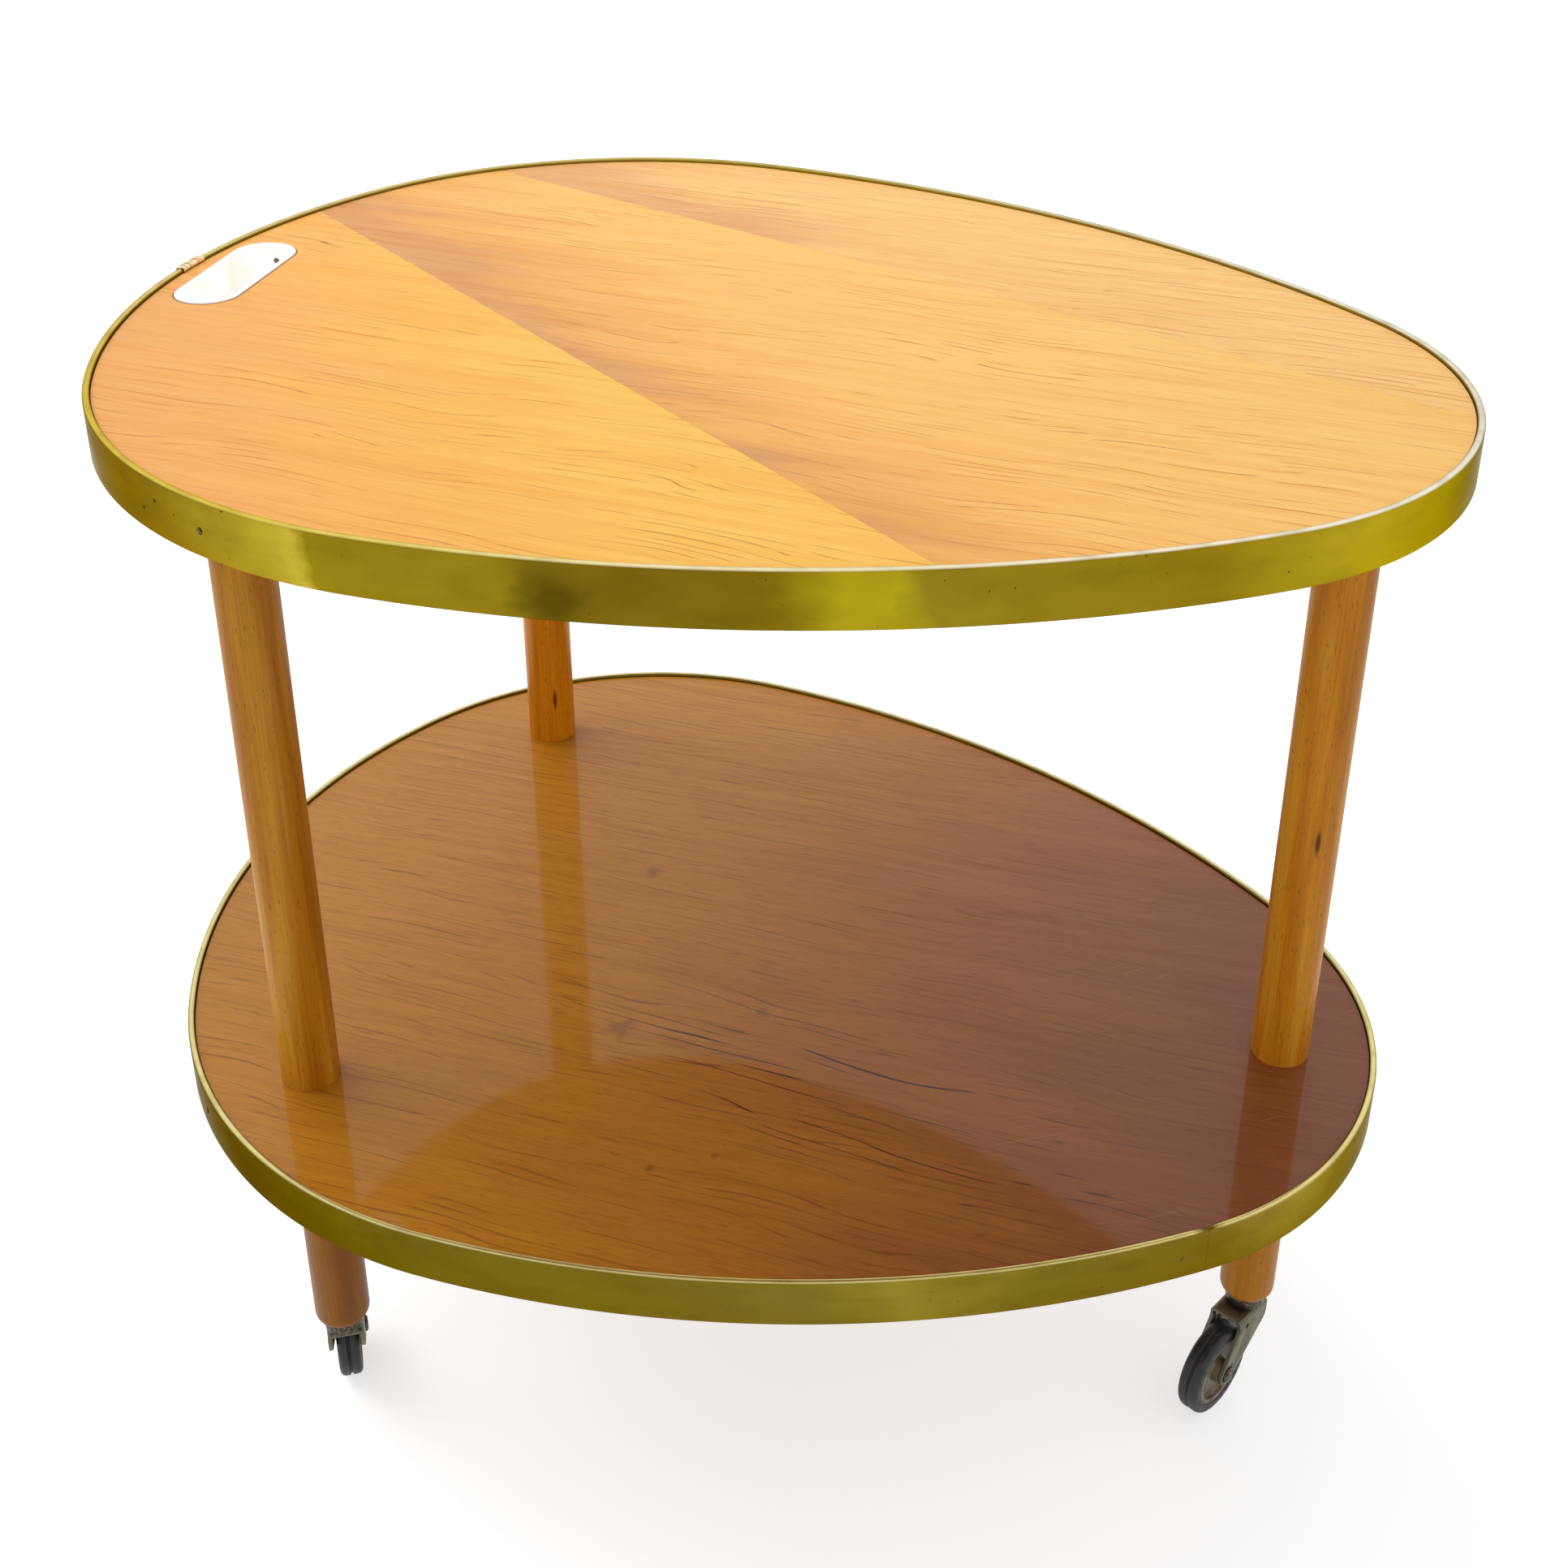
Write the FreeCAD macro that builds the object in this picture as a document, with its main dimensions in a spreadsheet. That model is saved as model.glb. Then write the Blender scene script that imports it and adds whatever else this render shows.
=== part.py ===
import FreeCAD, Part
import math
import os
import Sketcher

# A rolling side table: two egg-shaped veneered shelves in brass bands, three round posts between them,
# and three feet on swivel casters. Millimetres, +Z up, the floor at zero, the origin under the middle of
# the shelves and +X towards their narrow end, the nose.

Vector = FreeCAD.Vector
Placement = FreeCAD.Placement
Rotation = FreeCAD.Rotation
UP = Vector(0, 0, 1)
OUT = Vector(1, 0, 0)
TOLERANCE = 1e-6

doc = FreeCAD.newDocument("rolling_side_table")
sheet = doc.addObject("Spreadsheet::Sheet", "sheet")

SIZES = (
    # Outline of both shelves at the outer face of the band: three corner arcs and the sides between them
    ("near_x", -84.1),
    ("near_y", -43.9),
    ("near_round", 211.0),
    ("nose_x", 149.2),
    ("nose_y", -15.4),
    ("nose_round", 160.0),
    ("far_x", -102.3),
    ("far_y", 59.9),
    ("far_round", 195.0),
    ("near_side_round", 537.0),
    ("far_side_round", 582.0),
    ("blunt_side_round", 314.0),
    # Shelves
    ("board_thickness", 20.5),
    ("veneer_thickness", 1.0),
    ("band_thickness", 1.0),
    ("band_fit", 0.2),
    ("band_joint", 0.5),
    ("lip_width", 3.3),
    ("lip_rise", 2.0),
    ("lip_gap", 0.3),
    ("lip_round", 1.4),
    # Seams between the leaves of the top veneer: a point on each
    ("seam_gap", 0.1),
    ("near_seam_x", -79.1),
    ("near_seam_y", -55.9),
    ("far_seam_x", -67.7),
    ("far_seam_y", 137.1),
    # Hand hole in the top shelf and its liner
    ("grip_x", -280.4),
    ("grip_y", -3.9),
    ("grip_straight", 60.6),
    ("grip_round", 16.0),
    ("grip_rim", 1.2),
    ("grip_rim_height", 0.7),
    ("grip_wall", 1.6),
    ("grip_fit", 0.1),
    ("grip_nail_depth", 8.0),
    # Posts and feet
    ("nose_leg_x", 262.2),
    ("nose_leg_y", -6.9),
    ("near_leg_x", -183.8),
    ("near_leg_y", -171.9),
    ("far_leg_x", -201.8),
    ("far_leg_y", 158.1),
    ("leg_diameter", 28.0),
    ("post_length", 320.8),
    ("post_edge", 0.8),
    ("foot_length", 139.5),
    ("foot_round", 6.0),
    ("dowel_diameter", 12.0),
    ("dowel_in_board", 14.0),
    ("dowel_in_post", 30.0),
    ("stud_diameter", 10.0),
    ("stud_in_post", 30.0),
    ("stud_in_foot", 40.0),
    ("wood_fit", 0.05),
    ("hole_end", 0.5),
    # Casters
    ("trail", 26.0),
    ("wheel_diameter", 50.0),
    ("wheel_clearance", 3.0),
    ("tyre_width", 12.0),
    ("tyre_depth", 6.0),
    ("tyre_shoulder", 3.0),
    ("tyre_groove", 1.4),
    ("tyre_groove_width", 2.0),
    ("hub_length", 14.0),
    ("hub_boss", 13.0),
    ("hub_web", 5.0),
    ("hub_rim", 2.5),
    ("hub_rim_width", 11.0),
    ("axle_diameter", 6.0),
    ("axle_head", 1.6),
    ("axle_head_diameter", 10.0),
    ("running_fit", 0.05),
    ("fork_thickness", 2.0),
    ("fork_play", 0.4),
    ("fork_front", 8.0),
    ("fork_front_drop", 11.0),
    ("fork_back", 17.5),
    ("fork_back_drop", 6.0),
    ("fork_eye", 6.5),
    ("fork_sweep", 8.0),
    ("fork_bend", 2.6),
    ("fork_hole", 3.0),
    ("fork_hole_back", 11.0),
    ("fork_hole_drop", 6.0),
    ("race_diameter", 20.0),
    ("race_height", 6.7),
    ("race_round", 2.0),
    ("swivel_gap", 0.3),
    ("stem_diameter", 8.0),
    ("stem_length", 35.0),
    ("stem_head", 2.5),
    ("stem_head_diameter", 13.0),
    # Pins of the bands, nails of the liner and the clip over the top band's joint
    ("pin_diameter", 1.6),
    ("pin_length", 12.0),
    ("pin_head", 0.6),
    ("pin_head_diameter", 3.2),
    ("clip_length", 19.0),
    ("clip_thickness", 0.5),
    ("clip_round", 0.9),
    ("clip_drop", 5.0),
    ("clip_rib", 1.4),
    ("clip_rib_depth", 0.25),
    # Cuts run this far past what they cut
    ("overrun", 700.0),
)
ANGLES = (
    # Direction of the seams and of the hand hole, and how each caster stands at rest, in degrees from +X
    ("near_seam_turn", -36.0),
    ("far_seam_turn", -20.7),
    ("grip_turn", 95.5),
    ("nose_swivel", -115.0),
    ("near_swivel", 122.0),
    ("far_swivel", 40.0),
)
for row, (alias, number) in enumerate((*SIZES, *ANGLES), start=1):
    sheet.set(f"A{row}", alias)
    sheet.set(f"B{row}", str(number))
    sheet.setAlias(f"B{row}", alias)
doc.recompute()

# Levels and radii that follow from the sizes, as expressions over the sheet
PLATE_BOTTOM = "(sheet.wheel_diameter + sheet.wheel_clearance)"
PLATE_TOP = f"({PLATE_BOTTOM} + sheet.fork_thickness)"
RACE_BOTTOM = f"({PLATE_TOP} + sheet.swivel_gap)"
FOOT_BOTTOM = f"({RACE_BOTTOM} + sheet.race_height)"
LOWER_BOARD = f"({FOOT_BOTTOM} + sheet.foot_length)"
LOWER_VENEER = f"({LOWER_BOARD} + sheet.board_thickness)"
LOWER_SURFACE = f"({LOWER_VENEER} + sheet.veneer_thickness)"
TOP_BOARD = f"({LOWER_SURFACE} + sheet.post_length)"
TOP_VENEER = f"({TOP_BOARD} + sheet.board_thickness)"
TOP_SURFACE = f"({TOP_VENEER} + sheet.veneer_thickness)"
SHELF = "(sheet.board_thickness + sheet.veneer_thickness)"
POST = "(sheet.veneer_thickness + sheet.post_length)"
BAND_HEIGHT = f"(sheet.band_thickness + {SHELF} + sheet.lip_rise)"
BOARD_INSET = "(sheet.band_thickness + sheet.band_fit)"
VENEER_INSET = "(sheet.lip_width + sheet.lip_gap)"
GRIP_HOLE = "(sheet.grip_round - sheet.grip_rim)"
GRIP_TUBE = f"({GRIP_HOLE} - sheet.grip_fit)"
GRIP_BORE = f"({GRIP_TUBE} - sheet.grip_wall)"
LEG_RADIUS = "(sheet.leg_diameter / 2)"
FORK_INSIDE = "(sheet.hub_length + 2 * sheet.fork_play)"
FORK_OUTSIDE = f"({FORK_INSIDE} + 2 * sheet.fork_thickness)"
WHEEL_RADIUS = "(sheet.wheel_diameter / 2)"
RIM_RADIUS = f"({WHEEL_RADIUS} - sheet.tyre_depth)"
AXLE_RADIUS = "(sheet.axle_diameter / 2)"
STEM_RADIUS = "(sheet.stem_diameter / 2)"

LEGS = ("nose", "near", "far")
CORNERS = ("near", "nose", "far")
SIDE_AFTER = {"near": "near_side", "nose": "far_side", "far": "blunt_side"}

# Where the bands are joined and pinned: an arc of the outline and the angle that it faces there, in degrees
TOP_JOINT_ANGLE = ("blunt_side", 182.0)
LOWER_JOINT_ANGLE = ("nose", -52.5)
TOP_PIN_ANGLES = (("near", 251.4), ("nose", 52.0), ("far", 122.0))
LOWER_PIN_ANGLES = (("nose", -57.0), ("near", 228.0), ("far", 96.0))


def value(expression):
    """The number that an expression over the sheet gives now."""
    return float(sheet.evalExpression(str(expression)))


def new_body(label):
    """An empty body that carries the sub-part's name."""
    body = doc.addObject("PartDesign::Body", label)
    body.Label = label
    return body


def place(thing, x="0", y="0", z="0", turn="0"):
    """Put a sub-part at a place and turn it about the vertical, all bound to the sheet."""
    thing.Placement = Placement(Vector(), Rotation(UP, 1))
    thing.setExpression("Placement.Base.x", x)
    thing.setExpression("Placement.Base.y", y)
    thing.setExpression("Placement.Base.z", z)
    thing.setExpression("Placement.Rotation.Angle", turn)


def place_at_leg(thing, leg, z="0", turn="0"):
    """Put a sub-part on the axis of one leg."""
    place(thing, f"sheet.{leg}_leg_x", f"sheet.{leg}_leg_y", z, turn)


def sketch_on(body, name, role="XY_Plane", x="0", y="0", z="0", turn="0"):
    """A sketch on one of the body's own origin planes, moved within that plane's frame."""
    sketch = body.newObject("Sketcher::SketchObject", f"{body.Name}_{name}")
    plane = [feature for feature in body.Origin.OriginFeatures if feature.Role == role][0]
    sketch.AttachmentSupport = [(plane, "")]
    sketch.MapMode = "FlatFace"
    sketch.AttachmentOffset = Placement(Vector(), Rotation(UP, 1))
    sketch.setExpression("AttachmentOffset.Base.x", x)
    sketch.setExpression("AttachmentOffset.Base.y", y)
    sketch.setExpression("AttachmentOffset.Base.z", z)
    sketch.setExpression("AttachmentOffset.Rotation.Angle", turn)
    return sketch


def dimension(sketch, constraint, expression):
    """Add a dimension and bind it to the sheet."""
    index = sketch.addConstraint(constraint)
    sketch.setExpression(f"Constraints[{index}]", str(expression))


def hold(sketch, geometry, point, x, y):
    """Hold a point of the sketch at a place given by two expressions."""
    for kind, axis, expression in (("DistanceX", -2, x), ("DistanceY", -1, y)):
        if expression == "0":
            sketch.addConstraint(Sketcher.Constraint("PointOnObject", geometry, point, axis))
        else:
            wanted = Sketcher.Constraint(kind, -1, 1, geometry, point, value(expression))
            dimension(sketch, wanted, expression)


def circle(sketch, radius, x="0", y="0"):
    """A circle of a bound radius."""
    drawn = Part.Circle(Vector(value(x), value(y), 0), UP, value(radius))
    geometry = sketch.addGeometry(drawn, False)
    hold(sketch, geometry, 3, x, y)
    dimension(sketch, Sketcher.Constraint("Radius", geometry, value(radius)), radius)


def polygon(sketch, points):
    """A closed line through points, each held by two expressions."""
    count = len(points)
    spots = [Vector(value(x), value(y), 0) for x, y in points]
    for i in range(count):
        sketch.addGeometry(Part.LineSegment(spots[i], spots[(i + 1) % count]), False)
    for i in range(count):
        sketch.addConstraint(Sketcher.Constraint("Coincident", i, 2, (i + 1) % count, 1))
    for i, (x, y) in enumerate(points):
        hold(sketch, i, 1, x, y)


def rectangle(sketch, left, bottom, right, top):
    """A rectangle between two corners."""
    polygon(sketch, ((left, bottom), (right, bottom), (right, top), (left, top)))


def slot(sketch, straight, radius):
    """A stadium along the sketch's X axis: two half circles joined by straight sides."""
    half = f"({straight}) / 2"
    reach = value(half)
    r = value(radius)
    right = Part.ArcOfCircle(Part.Circle(Vector(reach, 0, 0), UP, r), -math.pi / 2, math.pi / 2)
    left = Part.ArcOfCircle(Part.Circle(Vector(-reach, 0, 0), UP, r), math.pi / 2, 3 * math.pi / 2)
    sketch.addGeometry(right, False)
    sketch.addGeometry(Part.LineSegment(Vector(reach, r, 0), Vector(-reach, r, 0)), False)
    sketch.addGeometry(left, False)
    sketch.addGeometry(Part.LineSegment(Vector(-reach, -r, 0), Vector(reach, -r, 0)), False)
    for i in range(4):
        sketch.addConstraint(Sketcher.Constraint("Tangent", i, 2, (i + 1) % 4, 1))
    hold(sketch, 0, 3, half, "0")
    hold(sketch, 2, 3, f"-{half}", "0")
    dimension(sketch, Sketcher.Constraint("Radius", 0, r), radius)


def corner_arc(name):
    """Centre and radius of a corner of the outline."""
    centre = Vector(value(f"sheet.{name}_x"), value(f"sheet.{name}_y"), 0)
    return centre, value(f"sheet.{name}_round")


def side_arc(first):
    """Centre and radius of the side that follows a corner and touches both of its corners from outside."""
    second = CORNERS[(CORNERS.index(first) + 1) % len(CORNERS)]
    start, start_round = corner_arc(first)
    end, end_round = corner_arc(second)
    radius = value(f"sheet.{SIDE_AFTER[first]}_round")
    span = end.sub(start)
    to_start = radius - start_round
    to_end = radius - end_round
    along = (span.Length**2 + to_start**2 - to_end**2) / (2 * span.Length)
    across = math.sqrt(to_start**2 - along**2)
    unit = Vector(span).normalize()
    return start.add(unit * along).add(UP.cross(unit) * across), radius


ARCS = {name: corner_arc(name) for name in CORNERS}
ARCS.update({SIDE_AFTER[name]: side_arc(name) for name in CORNERS})


def facing(start, end):
    """Direction from one point to another, in radians."""
    return math.atan2(end.y - start.y, end.x - start.x)


def outline(sketch, inset="0"):
    """The egg outline of six tangent arcs, drawn parallel to itself at an inset."""
    inward = value(inset)
    names = []
    for i, name in enumerate(CORNERS):
        before = ARCS[SIDE_AFTER[CORNERS[i - 1]]][0]
        after = ARCS[SIDE_AFTER[name]][0]
        following = ARCS[CORNERS[(i + 1) % len(CORNERS)]][0]
        centre = ARCS[name][0]
        turns = ((name, facing(before, centre), facing(after, centre)),)
        turns += ((SIDE_AFTER[name], facing(after, centre), facing(after, following)),)
        for arc, start, end in turns:
            middle, radius = ARCS[arc]
            drawn = Part.Circle(middle, UP, radius - inward)
            sketch.addGeometry(Part.ArcOfCircle(drawn, start, end), False)
            names.append(arc)
    for i in range(len(names)):
        sketch.addConstraint(Sketcher.Constraint("Tangent", i, 2, (i + 1) % len(names), 1))
    for i, arc in enumerate(names):
        if arc in CORNERS:
            hold(sketch, i, 3, f"sheet.{arc}_x", f"sheet.{arc}_y")
        radius = f"sheet.{arc}_round - ({inset})"
        dimension(sketch, Sketcher.Constraint("Radius", i, value(radius)), radius)


def edge_place(arc, degrees, z):
    """A place on the outer face of a band: X looks outward, Z up, Y along the edge."""
    centre, radius = ARCS[arc]
    turn = Rotation(UP, degrees)
    base = centre.add(turn.multVec(Vector(radius, 0, 0)))
    return Placement(Vector(base.x, base.y, value(z)), turn)


def pad(sketch, length, symmetric=False):
    """Extrude a sketch of a body."""
    body = sketch.getParentGeoFeatureGroup()
    feature = body.newObject("PartDesign::Pad", f"{sketch.Name}_pad")
    feature.Profile = sketch
    feature.setExpression("Length", length)
    feature.SideType = "Symmetric" if symmetric else "One side"
    return feature


def pocket(sketch, length=None, upward=False, symmetric=False):
    """Cut a sketch out of its body, by a length or right through."""
    body = sketch.getParentGeoFeatureGroup()
    feature = body.newObject("PartDesign::Pocket", f"{sketch.Name}_pocket")
    feature.Profile = sketch
    feature.Reversed = upward
    feature.SideType = "Symmetric" if symmetric else "One side"
    if length is None:
        feature.Type = "ThroughAll"
    else:
        feature.setExpression("Length", length)
    return feature


def revolve(sketch):
    """Turn a profile once round the sketch's vertical axis."""
    body = sketch.getParentGeoFeatureGroup()
    feature = body.newObject("PartDesign::Revolution", f"{sketch.Name}_turned")
    feature.Profile = sketch
    feature.ReferenceAxis = (sketch, ["V_Axis"])
    feature.Angle = 360
    return feature


def fillet(body, name, radius, wanted):
    """Round the edges of the body's newest feature for which wanted(edge) holds."""
    doc.recompute()
    base = body.Tip
    edges = [f"Edge{i}" for i, edge in enumerate(base.Shape.Edges, start=1) if wanted(edge)]
    feature = body.newObject("PartDesign::Fillet", f"{body.Name}_{name}")
    feature.Base = (base, edges)
    feature.setExpression("Radius", radius)
    return feature


def near(a, b):
    """Equal but for rounding."""
    return math.isclose(a, b, abs_tol=TOLERANCE)


def is_round(edge, radius):
    """True for a circular edge of the wanted radius."""
    return isinstance(edge.Curve, Part.Circle) and near(edge.Curve.Radius, radius)


def lies_at(edge, **wanted):
    """True if every corner of the edge has the wanted coordinates."""
    corners = [corner.Point for corner in edge.Vertexes]
    return all(near(getattr(corner, axis), spot) for corner in corners for axis, spot in wanted.items())


def cut(base, tools, label):
    """A sub-part with holes drilled into it."""
    drilled = doc.addObject("Part::Cut", label)
    drilled.Label = label
    drilled.Base = base
    drilled.Tool = tools
    return drilled


def group(label, shapes):
    """Equal small pieces that share one node."""
    feature = doc.addObject("Part::Feature", label)
    feature.Label = label
    feature.Shape = Part.makeCompound(shapes)
    return feature


def band(label, z):
    """A brass channel round a shelf: outer wall, turned-in bottom edge and a rounded lip over the veneer."""
    body = new_body(label)
    outside = sketch_on(body, "outside")
    outline(outside)
    pad(outside, BAND_HEIGHT)
    opening = sketch_on(body, "opening")
    outline(opening, "sheet.lip_width")
    pocket(opening, upward=True)
    channel = sketch_on(body, "channel", z="sheet.band_thickness")
    outline(channel, "sheet.band_thickness")
    pocket(channel, "sheet.board_thickness + sheet.lip_gap", upward=True)
    height = value(BAND_HEIGHT)
    fillet(body, "lip", "sheet.lip_round", lambda edge: lies_at(edge, z=height))
    place(body, z=f"{z} - sheet.band_thickness")
    return body


def joint_slit(joint, z):
    """The narrow gap between the two ends of a band."""
    reach = value("2 * sheet.lip_width")
    gap = value("sheet.band_joint")
    height = value(BAND_HEIGHT)
    box = Part.makeBox(2 * reach, gap, height, Vector(-reach, -gap / 2, 0))
    return box.transformed(edge_place(*joint, f"{z} - sheet.band_thickness").toMatrix())


def board(label, z):
    """The core of a shelf."""
    body = new_body(label)
    core = sketch_on(body, "core")
    outline(core, BOARD_INSET)
    pad(core, "sheet.board_thickness")
    place(body, z=z)
    return body


def drill_legs(body, diameter, depth=None):
    """Round holes on the three leg axes, from the underside up."""
    holes = sketch_on(body, "leg_holes")
    for leg in LEGS:
        radius = f"{diameter} / 2 + sheet.wood_fit"
        circle(holes, radius, f"sheet.{leg}_leg_x", f"sheet.{leg}_leg_y")
    pocket(holes, depth, upward=True)


def grip_sketch(body, name, z="0"):
    """A sketch at the hand hole, its X axis along the hole."""
    return sketch_on(body, name, x="sheet.grip_x", y="sheet.grip_y", z=z, turn="sheet.grip_turn")


def grip_cut(body):
    """The hand hole through a board or a leaf."""
    hole = grip_sketch(body, "hand_hole")
    slot(hole, "sheet.grip_straight", GRIP_HOLE)
    pocket(hole, upward=True)


def leaf(label, keep_from=None, keep_to=None):
    """A leaf of the top veneer, trimmed at the seams that bound it."""
    body = new_body(label)
    sheet_outline = sketch_on(body, "outline")
    outline(sheet_outline, VENEER_INSET)
    pad(sheet_outline, "sheet.veneer_thickness")
    for seam, side in ((keep_from, -1), (keep_to, 1)):
        if seam:
            where = {key: f"sheet.{seam}_seam_{key}" for key in ("x", "y", "turn")}
            trim = sketch_on(body, f"{seam}_trim", **where)
            inner = f"{-side} * sheet.seam_gap / 2"
            outer = f"{side} * sheet.overrun"
            low, high = (outer, inner) if side < 0 else (inner, outer)
            rectangle(trim, "-sheet.overrun", low, "sheet.overrun", high)
            pocket(trim, upward=True)
    place(body, z=TOP_VENEER)
    return body


def pin(spot):
    """A headed pin driven inward along -X from a place on a face."""
    length = value("sheet.pin_length")
    head = value("sheet.pin_head_diameter / 2")
    rise = value("sheet.pin_head")
    shank = Part.makeCylinder(value("sheet.pin_diameter / 2"), length, Vector(-length, 0, 0), OUT)
    dome = Part.makeCone(head, head - rise, rise, Vector(), OUT)
    return shank.fuse(dome).transformed(spot.toMatrix())


def pin_hole(spot):
    """The hole for a pin, with room for its head."""
    length = value("sheet.pin_length + sheet.hole_end")
    narrow = value("sheet.pin_diameter / 2 + sheet.wood_fit")
    wide = value("sheet.pin_head_diameter / 2 + sheet.wood_fit")
    shank = Part.makeCylinder(narrow, length, Vector(-length, 0, 0), OUT)
    head = Part.makeCylinder(wide, length, Vector(), OUT)
    return shank.fuse(head).transformed(spot.toMatrix())


# Shelves

top_mid = f"{TOP_BOARD} + sheet.board_thickness / 2"
lower_mid = f"{LOWER_BOARD} + sheet.board_thickness / 2"
top_pin_spots = [edge_place(arc, degrees, top_mid) for arc, degrees in TOP_PIN_ANGLES]
lower_pin_spots = [edge_place(arc, degrees, lower_mid) for arc, degrees in LOWER_PIN_ANGLES]
top_pin_holes = [pin_hole(spot) for spot in top_pin_spots]
lower_pin_holes = [pin_hole(spot) for spot in lower_pin_spots]
top_band_cuts = group("top_band_cuts", [*top_pin_holes, joint_slit(TOP_JOINT_ANGLE, TOP_BOARD)])
lower_band_cuts = group("lower_band_cuts", [*lower_pin_holes, joint_slit(LOWER_JOINT_ANGLE, LOWER_BOARD)])
cut(band("top_band_body", TOP_BOARD), top_band_cuts, "top_band")
cut(band("lower_band_body", LOWER_BOARD), lower_band_cuts, "lower_band")
group("top_band_pins", [pin(spot) for spot in top_pin_spots])
group("lower_band_pins", [pin(spot) for spot in lower_pin_spots])

top_board_body = board("top_board_body", TOP_BOARD)
drill_legs(top_board_body, "sheet.dowel_diameter", "sheet.dowel_in_board + sheet.hole_end")
grip_cut(top_board_body)
lower_board_body = board("lower_board_body", LOWER_BOARD)
drill_legs(lower_board_body, "sheet.stud_diameter")

top_leaf_near = leaf("top_leaf_near", keep_to="near")
grip_cut(top_leaf_near)
leaf("top_leaf_mid", keep_from="near", keep_to="far")
leaf("top_leaf_far", keep_from="far")
lower_veneer = new_body("lower_veneer")
lower_sheet = sketch_on(lower_veneer, "outline")
outline(lower_sheet, VENEER_INSET)
pad(lower_sheet, "sheet.veneer_thickness")
drill_legs(lower_veneer, "sheet.leg_diameter")
place(lower_veneer, z=LOWER_VENEER)

# Hand hole: a white liner with a thin rim, nailed through its two ends

liner_body = new_body("grip_liner_body")
tube = grip_sketch(liner_body, "tube")
slot(tube, "sheet.grip_straight", GRIP_TUBE)
pad(tube, SHELF)
rim = grip_sketch(liner_body, "rim", z=SHELF)
slot(rim, "sheet.grip_straight", "sheet.grip_round")
pad(rim, "sheet.grip_rim_height")
bore = grip_sketch(liner_body, "bore")
slot(bore, "sheet.grip_straight", GRIP_BORE)
pocket(bore, upward=True)
place(liner_body, z=TOP_BOARD)

nail_z = value(f"{TOP_SURFACE} - sheet.grip_nail_depth")
nail_reach = value(f"sheet.grip_straight / 2 + {GRIP_BORE}")
nail_spots = []
for half_turn in (0, 180):
    outward = Rotation(UP, value("sheet.grip_turn") + half_turn)
    middle = Vector(value("sheet.grip_x"), value("sheet.grip_y"), nail_z)
    base = middle.add(outward.multVec(Vector(nail_reach, 0, 0)))
    nail_spots.append(Placement(base, outward.multiply(Rotation(UP, 180))))
nail_holes = [pin_hole(spot) for spot in nail_spots]
cut(liner_body, group("nail_holes", nail_holes), "grip_liner")
group("grip_nails", [pin(spot) for spot in nail_spots])
cut(top_board_body, group("top_board_cuts", [*top_pin_holes, *nail_holes]), "top_board")
cut(lower_board_body, group("lower_board_cuts", lower_pin_holes), "lower_board")

# Clip that hides the joint of the top band: a ribbed strip folded over the lip

clip = new_body("top_band_clip")
fold = sketch_on(clip, "fold", "XZ_Plane")
gap = "sheet.band_fit"
wrap = f"({gap} + sheet.clip_thickness)"
polygon(
    fold,
    (
        (gap, "-sheet.clip_drop"),
        (wrap, "-sheet.clip_drop"),
        (wrap, wrap),
        (f"-sheet.lip_width - {wrap}", wrap),
        (f"-sheet.lip_width - {wrap}", "sheet.lip_gap - sheet.lip_rise + sheet.band_fit"),
        (f"-sheet.lip_width - {gap}", "sheet.lip_gap - sheet.lip_rise + sheet.band_fit"),
        (f"-sheet.lip_width - {gap}", gap),
        (gap, gap),
    ),
)
pad(fold, "sheet.clip_length", symmetric=True)
clip_top = value(wrap)
clip_length = value("sheet.clip_length")
fillet(
    clip,
    "folds",
    "sheet.clip_round",
    lambda edge: lies_at(edge, z=clip_top) and near(edge.Length, clip_length),
)
rib = sketch_on(clip, "rib", z=wrap, y="-sheet.clip_length / 2 + sheet.clip_rib")
rectangle(rib, "-2 * sheet.lip_width", "0", "sheet.lip_width", "sheet.clip_rib")
first_rib = pocket(rib, "sheet.clip_rib_depth")
ribs = clip.newObject("PartDesign::LinearPattern", "clip_ribs")
ribs.Originals = [first_rib]
ribs.Direction = (rib, ["V_Axis"])
ribs.setExpression("Length", "sheet.clip_length - 3 * sheet.clip_rib")
ribs.Occurrences = 5
clip.Tip = ribs
clip.Placement = edge_place(*TOP_JOINT_ANGLE, f"{TOP_SURFACE} + sheet.lip_rise")

# Posts and feet, with the dowels and studs that hold them. The posts stand on the board, let into its veneer

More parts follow.
